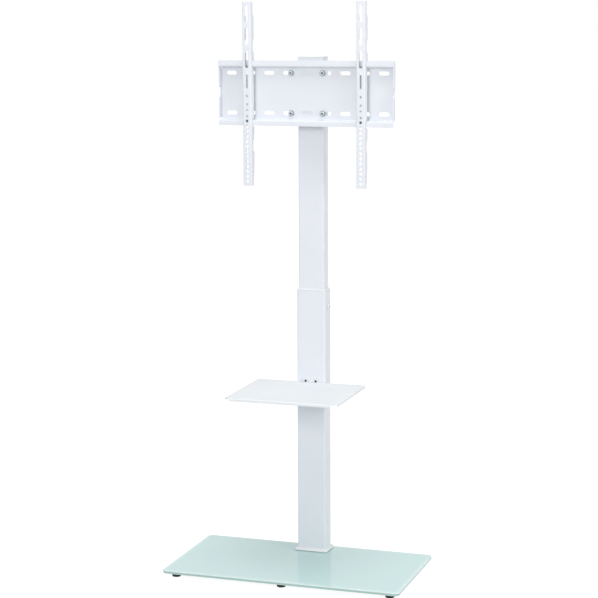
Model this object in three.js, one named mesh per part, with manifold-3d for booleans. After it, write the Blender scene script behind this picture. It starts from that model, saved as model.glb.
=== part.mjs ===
// Floor stand for a flat television, in millimetres, +Z up, the screen facing -Y.
// A glass base carries a two-stage steel column, a shelf and a slotted wall plate
// on which two perforated arms hang. The origin is on the floor, under the middle
// of the glass.

import * as THREE from 'three';
import { mergeVertices } from 'three/addons/utils/BufferGeometryUtils.js';
import Module from 'manifold-3d';

const wasm = await Module();
wasm.setup();

// Clearances and cutting
const SEAT_GAP = 0.3;
const RUN_GAP = 0.3;
const THREAD_GAP = 0.3;
const CUT_OVERRUN = 3;
const MERGE_DISTANCE = 0.0001;
const NUT_CORNER = 1.5;
const LEAST_HOLLOW_CORNER = 0.5;

// Glass base
const GLASS_WIDTH = 600;
const GLASS_DEPTH = 325;
const GLASS_THICKNESS = 8;
const GLASS_CORNER = 12;
const GLASS_POLISH = 1;

// Rubber feet
const FOOT_DIAMETER = 22;
const FOOT_HEIGHT = 12;
const FOOT_ROUNDING = 1.5;
const FOOT_INSET = 28;

// Clamp under the glass and its gaskets
const CLAMP_WIDTH = 110;
const CLAMP_DEPTH = 62;
const CLAMP_THICKNESS = 3;
const CLAMP_CORNER = 6;
const GASKET_THICKNESS = 1;
const GASKET_INSET = 1.5;

// Plate welded under the column
const LEDGE = 6;
const LEDGE_BEVEL = 2.5;
const LEDGE_CORNER = 4;
const FOOT_PLATE_THICKNESS = 6;

// Bolts through the glass
const BASE_BOLT = 8;
const BASE_BOLT_HEAD = 14;
const BASE_BOLT_HEAD_HEIGHT = 4;
const BASE_BOLT_PITCH_X = 48;
const BASE_BOLT_PITCH_Y = 24;
const BASE_BOLT_TIP = 2;
const BASE_NUT_FLATS = 13;
const BASE_NUT_HEIGHT = 6.5;
const GLASS_BORE = 12;

// Column
const OUTER_WIDTH = 74;
const OUTER_DEPTH = 47;
const OUTER_CORNER = 5;
const OUTER_LENGTH = 659;
const INNER_WIDTH = 66;
const INNER_DEPTH = 39;
const INNER_CORNER = 4.5;
const TUBE_WALL = 2;
const COLUMN_BACK_MARGIN = 14.2;
const INNER_INSERTION = 215;
const INNER_ABOVE_JOINT = 568.7;
const HEIGHT_TRAVEL = 150;

// Guide bush in the mouth of the outer tube
const BUSH_RIM_HEIGHT = 3;
const BUSH_RIM_INSET = 0.6;
const BUSH_SKIRT = 60;

// Glide on the foot of the inner tube and cap on its head
const GLIDE_HEIGHT = 6;
const GLIDE_WALL = 2.5;
const GLIDE_SKIRT = 8;
const CAP_HEIGHT = 3.5;
const CAP_BEVEL = 1.6;
const CAP_SKIRT = 14;
const CAP_WALL = 1.8;

// Height lock on the right side of the column
const LOCK_BELOW_MOUTH = 42;
const LOCK_SCREW = 8;
const LOCK_HEAD = 14;
const LOCK_HEAD_HEIGHT = 4.4;
const LOCK_SOCKET = 5.5;
const DOME_SHARES = [[1, 0], [1, 0.25], [0.78, 0.8], [0.56, 1]];
const LOCK_SOCKET_DEPTH = 3;
const LOCK_NUT_SIDE = 18;
const LOCK_NUT_THICKNESS = 6;
const LOCK_SCREW_TIP = 3;
const LOCK_SLOT_PLAY = 1.2;

// Shelf
const SHELF_WIDTH = 283;
const SHELF_DEPTH = 245;
const SHELF_BELOW_MOUTH = 233.5;
const SHELF_SHEET = 1.5;
const SHELF_FLANGE = 7.2;
const SHELF_CORNER = 14;
const SHELF_TONGUE_WIDTH = 40;
const SHELF_TONGUE_DROP = 34;

// Bracket that carries the shelf
const BRACKET_WIDTH = 50;
const BRACKET_REACH = 170;
const BRACKET_DROP = 46;
const BRACKET_NOSE = 12;
const BRACKET_SHEET = 2.5;
const BRACKET_TAB = 8;
const BRACKET_BEND = 2;
const SHELF_BOLT = 4;
const SHELF_BOLT_HEAD = 5.2;
const SHELF_BOLT_HEAD_HEIGHT = 2.6;
const SHELF_BOLT_PITCH = 26;
const SHELF_BOLT_RISE = 3;
const SHELF_BOLT_DROP = 24;
const SHELF_BOLT_TIP = 6;

// Stand-off and mount plate on the column head
const STANDOFF_WIDTH = 60;
const STANDOFF_HEIGHT = 112;
const STANDOFF_DEPTH = 22.2;
const STANDOFF_SHEET = 3;
const STANDOFF_BEND = 3;
const MOUNT_WIDTH = 90;
const MOUNT_HEIGHT = 130;
const MOUNT_THICKNESS = 4;
const MOUNT_CORNER = 8;
const MOUNT_PITCH_X = 80;
const MOUNT_SCREW = 6;
const MOUNT_SCREW_HEAD = 11;
const MOUNT_SCREW_HEAD_HEIGHT = 4;
const MOUNT_SCREW_TIP = 2;
const MOUNT_WASHER = 15;
const MOUNT_WASHER_THICKNESS = 1.2;
const MOUNT_NUT_FLATS = 10;
const MOUNT_NUT_HEIGHT = 5;
const CROSS_LENGTH = 6.4;
const CROSS_WIDTH = 1.5;
const CROSS_DEPTH = 2;

// Wall plate, a sheet with lips turned up and down and slots in two rows
const PLATE_WIDTH = 445;
const PLATE_HEIGHT = 158;
const PLATE_SHEET = 2;
const PLATE_DEPTH = 18;
const PLATE_BEND = 2.5;
const PLATE_BELOW_HEAD = 6;
const TOP_LIP = 16;
const BOTTOM_LIP = 14.5;
const LIP_CORNER = 3;
const SLOT_LENGTH = 26.5;
const SLOT_WIDTH = 10;
const SLOT_PITCH = 48.5;
const SLOT_COUNT = 9;
const SLOT_ROW_PITCH = 97.3;
const SLOT_BELOW_TOP = 30.3;
const SIDE_FLANGE_DEPTH = 15;
const WAVE_BELOW_TOP = 64;
const WAVE_LENGTH = 33;
const WAVE_DEPTH = 10;
const WAVE_STEP = 2;

// Arms that hook on the wall plate
const ARM_LENGTH = 446;
const ARM_WIDTH = 22.5;
const ARM_SHEET = 2;
const ARM_BEND = 1.5;
const ARM_FRONT_GAP = 8;
const ARM_DEPTH = 14.5;
const ARM_WIDE_DEPTH = 21;
const ARM_TRAY_DEPTH = 19;
const ARM_HOOK_DEPTH = 22;
const ARM_CORNER = 4;
const ARM_ABOVE_LIP = 141;
const ARM_LEFT_PLACE = -145.4;
const ARM_RIGHT_PLACE = 143.2;
const HOOK_PLAY = 0.6;

// Steps of the arm's rear edge, measured down from its top
const SHOULDER_START = 35;
const SHOULDER_END = 91;
const HOOK_START = 117;
const HOOK_RISE = 8;
const LOWER_STEP_END = 333;
const LOWER_STEP_RESUME = 362;
const LOWER_TAPER_START = 400;
const STEP_SLOPE = 3;

// Holes of the arm, measured down from its top
const ARM_SLOT_LENGTH = 42;
const ARM_SLOT_WIDTH = 8.5;
const ARM_SLOT_STARTS = [8.3, 62.2, 117.2];
const SLIT_START = 167;
const SLIT_LENGTH = 41;
const SLIT_WIDTH = 4.5;
const SMALL_HOLE = 5;
const SMALL_HOLE_PLACES = [227, 247, 261.5, 276];
const ROW_HOLE = 7;
const ROW_START = 300.5;
const ROW_PITCH = 12.2;
const ROW_END_MARGIN = 8;

// Grub screw that locks an arm to the lower lip
const GRUB_PLACE = 287.5;
const GRUB_DIAMETER = 6;
const GRUB_SOCKET = 3;
const GRUB_SOCKET_DEPTH = 3;
const GRUB_NUT_SIDE = 11;
const GRUB_NUT_THICKNESS = 4;

// Facets of round forms
const CORNER_STEPS = 3;
const SLOT_STEPS = 2;
const HOLE_STEPS = 12;
const SCREW_STEPS = 16;
const FOOT_STEPS = 24;
const BEND_STEPS = 3;
const HEX_SIDES = 6;

// Heights and depths that follow from the sizes above
const glassBottom = FOOT_HEIGHT + SEAT_GAP;
const glassTop = glassBottom + GLASS_THICKNESS;
const topGasket = glassTop + SEAT_GAP;
const footPlateBottom = topGasket + GASKET_THICKNESS + SEAT_GAP;
const footPlateTop = footPlateBottom + FOOT_PLATE_THICKNESS;
const outerBottom = footPlateTop + SEAT_GAP;
const outerTop = outerBottom + OUTER_LENGTH;
const bushTop = outerTop + SEAT_GAP + BUSH_RIM_HEIGHT;
const lockHeight = outerTop - LOCK_BELOW_MOUTH;
const innerTop = bushTop + INNER_ABOVE_JOINT;
const innerBottom = bushTop - INNER_INSERTION;
const columnY = GLASS_DEPTH / 2 - COLUMN_BACK_MARGIN - OUTER_DEPTH / 2;
const outerFront = columnY - OUTER_DEPTH / 2;
const innerFront = columnY - INNER_DEPTH / 2;
const standoffFront = innerFront - SEAT_GAP - STANDOFF_DEPTH;
const shelfTop = bushTop - SHELF_BELOW_MOUTH;
const mountFront = standoffFront - SEAT_GAP - MOUNT_THICKNESS;
const webBack = mountFront - SEAT_GAP;
const webFront = webBack - PLATE_SHEET;
const lipFront = webFront - PLATE_DEPTH;
const armFront = lipFront - ARM_FRONT_GAP;
const plateTop = innerTop - PLATE_BELOW_HEAD;
const upperRow = plateTop - SLOT_BELOW_TOP;
const lowerRow = upperRow - SLOT_ROW_PITCH;

// Colours
const WHITE_STEEL = { color: 0xeceef3, roughness: 0.45, metalness: 0 };
const WHITE_PLASTIC = { color: 0xe9ebec, roughness: 0.5, metalness: 0 };
const ZINC = { color: 0xb4bcc0, roughness: 0.35, metalness: 0.9 };
const BLACK_STEEL = { color: 0x17181a, roughness: 0.5, metalness: 0.4 };
const BLACK_RUBBER = { color: 0x121314, roughness: 0.8, metalness: 0 };
const PALE_GLASS = { color: 0xcde3e2, roughness: 0.08, metalness: 0 };
const GREY_RUBBER = { color: 0x7d8587, roughness: 0.8, metalness: 0 };

// Axes of a side outline: its x runs along Y, its y along Z and its depth along X
const sideAxes = new THREE.Matrix4().makeBasis(
  new THREE.Vector3(0, 1, 0),
  new THREE.Vector3(0, 0, 1),
  new THREE.Vector3(1, 0, 0),
);

// Closed mesh to solid, and back
function solid(geometry) {
  const bare = geometry.clone();
  bare.deleteAttribute('normal');
  bare.deleteAttribute('uv');
  const merged = mergeVertices(bare, MERGE_DISTANCE);
  const vertProperties = merged.attributes.position.array;
  const triVerts = new Uint32Array(merged.index.array);
  return new wasm.Manifold(new wasm.Mesh({ numProp: 3, vertProperties, triVerts }));
}

function surface(body) {
  const mesh = body.getMesh();
  const geometry = new THREE.BufferGeometry();
  geometry.setAttribute('position', new THREE.BufferAttribute(mesh.vertProperties, 3));
  geometry.setIndex(new THREE.BufferAttribute(mesh.triVerts, 1));
  const faceted = geometry.toNonIndexed();
  faceted.computeVertexNormals();
  return faceted;
}

function cutAll(body, cutters) {
  return cutters.reduce((rest, cutter) => rest.subtract(solid(cutter)), body);
}

// Extrusions along the three axes
function upward(shape, height, steps = CORNER_STEPS) {
  return new THREE.ExtrudeGeometry(shape, {
    depth: height,
    bevelEnabled: false,
    curveSegments: steps,
  });
}

function backward(shape, thickness, steps = CORNER_STEPS) {
  const geometry = upward(shape, thickness, steps);
  geometry.rotateX(Math.PI / 2);
  geometry.translate(0, thickness, 0);
  return geometry;
}

function sideways(shape, width, steps = CORNER_STEPS) {
  const geometry = upward(shape, width, steps);
  geometry.applyMatrix4(sideAxes);
  geometry.translate(-width / 2, 0, 0);
  return geometry;
}

// Extrusion with its upper edge bevelled, and the lower one too if asked
function bevelled(shape, height, bevel, both) {
  const geometry = new THREE.ExtrudeGeometry(shape, {
    depth: height - bevel * 2,
    bevelThickness: bevel,
    bevelSize: bevel,
    bevelOffset: -bevel,
    bevelSegments: 2,
    curveSegments: CORNER_STEPS,
  });
  geometry.translate(0, 0, bevel);
  if (both) {
    return solid(geometry);
  }
  const foot = solid(upward(shape, height / 2));
  return solid(geometry).add(foot);
}

// Outlines
function roundedRectangle(width, depth, corner) {
  const x = width / 2;
  const y = depth / 2;
  const shape = new THREE.Shape();
  shape.moveTo(-x + corner, -y);
  shape.lineTo(x - corner, -y);
  shape.absarc(x - corner, -y + corner, corner, -Math.PI / 2, 0);
  shape.lineTo(x, y - corner);
  shape.absarc(x - corner, y - corner, corner, 0, Math.PI / 2);
  shape.lineTo(-x + corner, y);
  shape.absarc(-x + corner, y - corner, corner, Math.PI / 2, Math.PI);
  shape.lineTo(-x, -y + corner);
  shape.absarc(-x + corner, -y + corner, corner, Math.PI, Math.PI * 1.5);
  return shape;
}

function ring(width, depth, corner, wall) {
  const shape = roundedRectangle(width, depth, corner);
  const hollowCorner = Math.max(corner - wall, LEAST_HOLLOW_CORNER);
  shape.holes.push(roundedRectangle(width - wall * 2, depth - wall * 2, hollowCorner));
  return shape;
}

// Outline of a bent sheet: a mid-line path of straight runs with an arc at each bend
function sheetOutline(path, thickness, insideRadius) {
  const points = path.map(([x, y]) => new THREE.Vector2(x, y));
  const radius = insideRadius + thickness / 2;
  const stations = [];
  const leftOf = (direction) => new THREE.Vector2(-direction.y, direction.x);
  const origin = new THREE.Vector2();
  let heading = points[1].clone().sub(points[0]).normalize();
  stations.push([points[0], leftOf(heading)]);
  for (let i = 1; i < points.length - 1; i += 1) {
    const next = points[i + 1].clone().sub(points[i]).normalize();
    const turn = Math.atan2(heading.cross(next), heading.dot(next));
    const start = points[i].clone().addScaledVector(heading, -radius * Math.tan(Math.abs(turn) / 2));
    const normal = leftOf(heading);
    const centre = start.clone().addScaledVector(normal, radius * Math.sign(turn));
    for (let step = 0; step <= BEND_STEPS; step += 1) {
      const angle = turn * step / BEND_STEPS;
      const point = start.clone().rotateAround(centre, angle);
      stations.push([point, normal.clone().rotateAround(origin, angle)]);
    }
    heading = next;
  }
  stations.push([points[points.length - 1], leftOf(heading)]);
  const left = stations.map(([point, normal]) => point.clone().addScaledVector(normal, thickness / 2));
  const right = stations.map(([point, normal]) => point.clone().addScaledVector(normal, -thickness / 2));
  return new THREE.Shape([...right, ...left.reverse()]);
}

// Round cutter or rod that starts at a point and runs along X, Y or Z
function rod(axis, diameter, length, steps, x, y, z) {
  const geometry = new THREE.CylinderGeometry(diameter / 2, diameter / 2, length, steps);
  geometry.translate(0, length / 2, 0);
  if (axis === 'x') {
    geometry.rotateZ(-Math.PI / 2);
  }
  if (axis === 'z') {
    geometry.rotateX(Math.PI / 2);
  }
  geometry.translate(x, y, z);
  return geometry;
}

function slotOutline(length, width) {
  return roundedRectangle(length, width, width / 2 - MERGE_DISTANCE);
}

// Corner distance of a hexagon from its size across flats
function acrossCorners(flats) {
  return flats / Math.cos(Math.PI / HEX_SIDES);
}

function piece(parent, name, body, finish, x = 0, y = 0, z = 0) {
  const geometry = body.isBufferGeometry ? body : surface(body);
  const mesh = new THREE.Mesh(geometry, new THREE.MeshStandardMaterial(finish));
  mesh.name = name;
  mesh.position.set(x, y, z);
  parent.add(mesh);
  return mesh;
}

const stand = new THREE.Group();

// Places of the four bolts that clamp the column to the glass
const baseBoltPlaces = [-1, 1].flatMap((sideY) => [-1, 1].map((sideX) => [
  sideX * BASE_BOLT_PITCH_X / 2,
  sideY * BASE_BOLT_PITCH_Y / 2,
]));

function baseBoltBores(diameter, thickness) {
  const length = thickness + CUT_OVERRUN * 2;
  return baseBoltPlaces.map(([x, y]) => rod('z', diameter, length, HOLE_STEPS, x, y, -CUT_OVERRUN));
}

// Tempered glass slab with polished edges
function buildGlass() {
  const outline = roundedRectangle(GLASS_WIDTH, GLASS_DEPTH, GLASS_CORNER);
  const slab = bevelled(outline, GLASS_THICKNESS, GLASS_POLISH, true);
  const bores = baseBoltBores(GLASS_BORE, GLASS_THICKNESS);
  bores.forEach((bore) => bore.translate(0, columnY, 0));
  piece(stand, 'base_glass', cutAll(slab, bores), PALE_GLASS, 0, 0, glassBottom);
}

// Rubber foot: a low disc with a rounded lower edge
function footGeometry(height) {
  const radius = FOOT_DIAMETER / 2;
  const profile = [
    new THREE.Vector2(0, 0),
    new THREE.Vector2(radius - FOOT_ROUNDING, 0),
    new THREE.Vector2(radius, FOOT_ROUNDING),
    new THREE.Vector2(radius, height),
    new THREE.Vector2(0, height),
  ];
  const geometry = new THREE.LatheGeometry(profile, FOOT_STEPS);
  geometry.rotateX(Math.PI / 2);
  return geometry;
}

// Five feet under the glass, and a lower one under the clamp that carries the column
function buildFeet() {
  const x = GLASS_WIDTH / 2 - FOOT_INSET;
  const y = GLASS_DEPTH / 2 - FOOT_INSET;
  piece(stand, 'foot_front_left', footGeometry(FOOT_HEIGHT), BLACK_RUBBER, -x, -y);
  piece(stand, 'foot_front_middle', footGeometry(FOOT_HEIGHT), BLACK_RUBBER, 0, -y);
  piece(stand, 'foot_front_right', footGeometry(FOOT_HEIGHT), BLACK_RUBBER, x, -y);
  piece(stand, 'foot_rear_left', footGeometry(FOOT_HEIGHT), BLACK_RUBBER, -x, y);
  piece(stand, 'foot_rear_right', footGeometry(FOOT_HEIGHT), BLACK_RUBBER, x, y);
  const clampBottom = glassBottom - SEAT_GAP * 2 - GASKET_THICKNESS - CLAMP_THICKNESS;
  const lowFoot = footGeometry(clampBottom - SEAT_GAP);
  piece(stand, 'foot_rear_middle', lowFoot, BLACK_RUBBER, 0, columnY);
}

// Steel clamp under the glass, the two gaskets and the plate welded under the column
function buildClamp() {
  const bore = BASE_BOLT + THREAD_GAP * 2;
  const gasketZ = glassBottom - SEAT_GAP - GASKET_THICKNESS;
  const clampZ = gasketZ - SEAT_GAP - CLAMP_THICKNESS;
  const underOutline = roundedRectangle(CLAMP_WIDTH, CLAMP_DEPTH, CLAMP_CORNER);
  const clamp = cutAll(solid(upward(underOutline, CLAMP_THICKNESS)), baseBoltBores(bore, CLAMP_THICKNESS));
  piece(stand, 'clamp_plate', clamp, ZINC, 0, columnY, clampZ);
  const underGasket = cutAll(
    solid(upward(underOutline, GASKET_THICKNESS)),
    baseBoltBores(GLASS_BORE, GASKET_THICKNESS),
  );
  piece(stand, 'lower_gasket', underGasket, GREY_RUBBER, 0, columnY, gasketZ);
  const ledgeWidth = OUTER_WIDTH + LEDGE * 2;
  const ledgeDepth = OUTER_DEPTH + LEDGE * 2;
  const gasketOutline = roundedRectangle(
    ledgeWidth - GASKET_INSET * 2,
    ledgeDepth - GASKET_INSET * 2,
    LEDGE_CORNER,
  );
  const gasket = cutAll(
    solid(upward(gasketOutline, GASKET_THICKNESS)),
    baseBoltBores(GLASS_BORE, GASKET_THICKNESS),
  );
  piece(stand, 'upper_gasket', gasket, GREY_RUBBER, 0, columnY, topGasket);
  const ledgeOutline = roundedRectangle(ledgeWidth, ledgeDepth, LEDGE_CORNER);
  const plate = cutAll(
    bevelled(ledgeOutline, FOOT_PLATE_THICKNESS, LEDGE_BEVEL, false),
    baseBoltBores(bore, FOOT_PLATE_THICKNESS),
  );
  piece(stand, 'foot_plate', plate, WHITE_STEEL, 0, columnY, footPlateBottom);
  const headZ = clampZ - SEAT_GAP - BASE_BOLT_HEAD_HEIGHT;
  const nutZ = footPlateTop + SEAT_GAP;
  const shankLength = nutZ + BASE_NUT_HEIGHT + BASE_BOLT_TIP - headZ;
  const nutHole = rod('z', bore, BASE_NUT_HEIGHT + CUT_OVERRUN * 2, HOLE_STEPS, 0, 0, -CUT_OVERRUN);
  baseBoltPlaces.forEach(([x, y], index) => {
    const head = rod('z', BASE_BOLT_HEAD, BASE_BOLT_HEAD_HEIGHT, SCREW_STEPS, 0, 0, 0);
    const shank = rod('z', BASE_BOLT, shankLength, HOLE_STEPS, 0, 0, 0);
    const socket = rod('z', LOCK_SOCKET, LOCK_SOCKET_DEPTH + CUT_OVERRUN, HEX_SIDES, 0, 0, -CUT_OVERRUN);
    const bolt = solid(head).add(solid(shank)).subtract(solid(socket));
    piece(stand, `base_bolt_${index + 1}`, bolt, ZINC, x, columnY + y, headZ);
    const nutBody = rod('z', acrossCorners(BASE_NUT_FLATS), BASE_NUT_HEIGHT, HEX_SIDES, 0, 0, 0);
    const nut = solid(nutBody).subtract(solid(nutHole));
    piece(stand, `base_nut_${index + 1}`, nut, ZINC, x, columnY + y, nutZ);
  });
}

// Lower column tube with the holes of the height lock and of the shelf bolts
function buildOuterTube() {
  const tube = solid(upward(ring(OUTER_WIDTH, OUTER_DEPTH, OUTER_CORNER, TUBE_WALL), OUTER_LENGTH));
  const wallCut = TUBE_WALL + CUT_OVERRUN * 2;
  const lockStart = OUTER_WIDTH / 2 - TUBE_WALL - CUT_OVERRUN;
  const lockBore = LOCK_SCREW + THREAD_GAP * 2;
  const cutters = [rod('x', lockBore, wallCut, HOLE_STEPS, lockStart, 0, lockHeight - outerBottom)];
  const boltBore = SHELF_BOLT + THREAD_GAP * 2;
  shelfBoltPlaces().forEach(([x, z]) => {
    const y = -OUTER_DEPTH / 2 - CUT_OVERRUN;
    cutters.push(rod('y', boltBore, wallCut, HOLE_STEPS, x, y, z - outerBottom));
  });
  piece(stand, 'outer_tube', cutAll(tube, cutters), WHITE_STEEL, 0, columnY, outerBottom);
}

// Bush that guides the inner tube, with a rim on the mouth of the outer one
function buildBush() {
  const boreWidth = INNER_WIDTH + RUN_GAP * 2;
  const boreDepth = INNER_DEPTH + RUN_GAP * 2;
  const boreOutline = roundedRectangle(boreWidth, boreDepth, INNER_CORNER);
  const skirtOutline = roundedRectangle(
    OUTER_WIDTH - TUBE_WALL * 2 - SEAT_GAP * 2,
    OUTER_DEPTH - TUBE_WALL * 2 - SEAT_GAP * 2,
    OUTER_CORNER - TUBE_WALL,
  );
  const rimOutline = roundedRectangle(
    OUTER_WIDTH - BUSH_RIM_INSET * 2,
    OUTER_DEPTH - BUSH_RIM_INSET * 2,
    OUTER_CORNER,
  );
  const skirtLength = BUSH_SKIRT + SEAT_GAP + BUSH_RIM_HEIGHT / 2;
  const skirt = solid(upward(skirtOutline, skirtLength));
  const rim = solid(upward(rimOutline, BUSH_RIM_HEIGHT).translate(0, 0, BUSH_SKIRT + SEAT_GAP));
  const height = BUSH_SKIRT + SEAT_GAP + BUSH_RIM_HEIGHT;
  const bore = upward(boreOutline, height + CUT_OVERRUN * 2).translate(0, 0, -CUT_OVERRUN);
  const lockBore = rod(
    'x',
    LOCK_SCREW + THREAD_GAP * 2,
    OUTER_WIDTH / 2,
    HOLE_STEPS,
    0,
    0,
    BUSH_SKIRT - LOCK_BELOW_MOUTH,
  );
  const bush = cutAll(skirt.add(rim), [bore, lockBore]);
  piece(stand, 'guide_bush', bush, WHITE_PLASTIC, 0, columnY, outerTop - BUSH_SKIRT);
}

// Upper column tube, slotted on its right side for the height lock
function buildInnerTube(head) {
  const length = innerTop - innerBottom;
  const tube = solid(upward(ring(INNER_WIDTH, INNER_DEPTH, INNER_CORNER, TUBE_WALL), length));
  const slotWidth = LOCK_SCREW + LOCK_SLOT_PLAY;
  const outline = slotOutline(HEIGHT_TRAVEL + slotWidth, slotWidth);
  const slot = upward(outline, TUBE_WALL + CUT_OVERRUN * 2);
  slot.rotateY(Math.PI / 2);
  const slotX = INNER_WIDTH / 2 - TUBE_WALL - CUT_OVERRUN;
  slot.translate(slotX, 0, lockHeight - innerBottom - HEIGHT_TRAVEL / 2);
  piece(head, 'inner_tube', cutAll(tube, [slot]), WHITE_STEEL, 0, columnY, innerBottom);
}

// Glide that keeps the foot of the inner tube centred in the outer one
function buildGlide(head) {
  const flangeOutline = ring(
    OUTER_WIDTH - TUBE_WALL * 2 - RUN_GAP * 2,
    OUTER_DEPTH - TUBE_WALL * 2 - RUN_GAP * 2,
    OUTER_CORNER - TUBE_WALL,
    (OUTER_WIDTH - INNER_WIDTH) / 2 - RUN_GAP + GLIDE_WALL,
  );
  const skirtOutline = ring(
    INNER_WIDTH - TUBE_WALL * 2 - SEAT_GAP * 2,
    INNER_DEPTH - TUBE_WALL * 2 - SEAT_GAP * 2,
    INNER_CORNER - TUBE_WALL,
    GLIDE_WALL,
  );
  const flange = solid(upward(flangeOutline, GLIDE_HEIGHT));
  const skirt = solid(upward(skirtOutline, GLIDE_HEIGHT / 2 + SEAT_GAP + GLIDE_SKIRT));
  const raised = skirt.translate([0, 0, GLIDE_HEIGHT / 2]);
  const z = innerBottom - SEAT_GAP - GLIDE_HEIGHT;
  piece(head, 'lower_glide', flange.add(raised), WHITE_PLASTIC, 0, columnY, z);
}

// Cap with a bevelled top that closes the head of the inner tube
function buildCap(head) {
  const lidOutline = roundedRectangle(INNER_WIDTH, INNER_DEPTH, INNER_CORNER);
  const skirtOutline = ring(
    INNER_WIDTH - TUBE_WALL * 2 - SEAT_GAP * 2,
    INNER_DEPTH - TUBE_WALL * 2 - SEAT_GAP * 2,
    INNER_CORNER - TUBE_WALL,
    CAP_WALL,
  );
  const lid = bevelled(lidOutline, CAP_HEIGHT, CAP_BEVEL, false);
  const skirt = solid(upward(skirtOutline, CAP_SKIRT + SEAT_GAP + CAP_HEIGHT / 2));
  const lowered = skirt.translate([0, 0, -CAP_SKIRT - SEAT_GAP]);
  piece(head, 'top_cap', lid.add(lowered), WHITE_PLASTIC, 0, columnY, innerTop + SEAT_GAP);
}

// Low button-head screw and square nut that clamp the two tubes
function buildHeightLock(lock) {
  const bore = LOCK_SCREW + THREAD_GAP * 2;
  const headX = OUTER_WIDTH / 2 + SEAT_GAP;
  const nutX = INNER_WIDTH / 2 - TUBE_WALL - SEAT_GAP - LOCK_NUT_THICKNESS;
  const nutOutline = roundedRectangle(LOCK_NUT_SIDE, LOCK_NUT_SIDE, NUT_CORNER);
  const nutBody = upward(nutOutline, LOCK_NUT_THICKNESS).rotateY(Math.PI / 2);
  const nutHole = rod('x', bore, LOCK_NUT_THICKNESS + CUT_OVERRUN * 2, HOLE_STEPS, -CUT_OVERRUN, 0, 0);
  const nut = solid(nutBody).subtract(solid(nutHole));
  piece(stand, 'height_lock_nut', nut, ZINC, nutX, columnY, lockHeight);
  const shankX = nutX - LOCK_SCREW_TIP;
  const shank = rod('x', LOCK_SCREW, headX - shankX + LOCK_HEAD_HEIGHT / 2, HOLE_STEPS, shankX - headX, 0, 0);
  const dome = DOME_SHARES.map(([out, up]) => new THREE.Vector2(
    LOCK_HEAD / 2 * out,
    LOCK_HEAD_HEIGHT * up,
  ));
  dome.unshift(new THREE.Vector2(0, 0));
  dome.push(new THREE.Vector2(0, LOCK_HEAD_HEIGHT));
  const headBody = new THREE.LatheGeometry(dome, SCREW_STEPS).rotateZ(-Math.PI / 2);
  const socketX = LOCK_HEAD_HEIGHT - LOCK_SOCKET_DEPTH;
  const socket = rod('x', LOCK_SOCKET, LOCK_SOCKET_DEPTH + CUT_OVERRUN, HEX_SIDES, socketX, 0, 0);
  const screw = solid(headBody).add(solid(shank)).subtract(solid(socket));
  piece(lock, 'height_lock_screw', screw, WHITE_STEEL, headX, columnY, lockHeight);
}

// Places of the four bolts of the shelf bracket, above and below the shelf
function shelfBoltPlaces() {
  const heights = [shelfTop + SHELF_BOLT_RISE, shelfTop - SHELF_BOLT_DROP];
  return heights.flatMap((z) => [-1, 1].map((side) => [side * SHELF_BOLT_PITCH / 2, z]));
}

// Bracket: a back plate with a tab above the shelf and two tapered wings under it
function buildShelfBracket() {
  const half = (BRACKET_WIDTH - BRACKET_SHEET) / 2;
  const backY = -BRACKET_SHEET / 2;
  const path = [[-half, -BRACKET_REACH], [-half, backY], [half, backY], [half, -BRACKET_REACH]];
  const height = BRACKET_TAB + SHELF_SHEET + BRACKET_DROP;
  const channel = solid(upward(sheetOutline(path, BRACKET_SHEET, BRACKET_BEND), height));
  const wingTop = -SHELF_SHEET - SEAT_GAP;
  const bottom = -SHELF_SHEET - BRACKET_DROP;
  const outline = new THREE.Shape();
  outline.moveTo(CUT_OVERRUN, bottom - CUT_OVERRUN);
  outline.lineTo(CUT_OVERRUN, BRACKET_TAB + CUT_OVERRUN);
  outline.lineTo(-BRACKET_SHEET, BRACKET_TAB + CUT_OVERRUN);
  outline.lineTo(-BRACKET_SHEET, wingTop);
  outline.lineTo(-BRACKET_REACH - CUT_OVERRUN, wingTop);
  outline.lineTo(-BRACKET_REACH - CUT_OVERRUN, wingTop - BRACKET_NOSE);
  outline.lineTo(-BRACKET_REACH, wingTop - BRACKET_NOSE);
  outline.lineTo(-BRACKET_NOSE, bottom - CUT_OVERRUN);
  const side = solid(sideways(outline, BRACKET_WIDTH + CUT_OVERRUN * 2));
  const wings = channel.translate([0, 0, bottom]).intersect(side);
  const bore = SHELF_BOLT + THREAD_GAP * 2;
  const cutters = shelfBoltPlaces().map(([x, z]) => rod(
    'y',
    bore,
    BRACKET_SHEET + CUT_OVERRUN * 2,
    HOLE_STEPS,
    x,
    -BRACKET_SHEET - CUT_OVERRUN,
    z - shelfTop,
  ));
  const y = outerFront - SEAT_GAP;
  piece(stand, 'shelf_bracket', cutAll(wings, cutters), WHITE_STEEL, 0, y, shelfTop);
}

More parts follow.
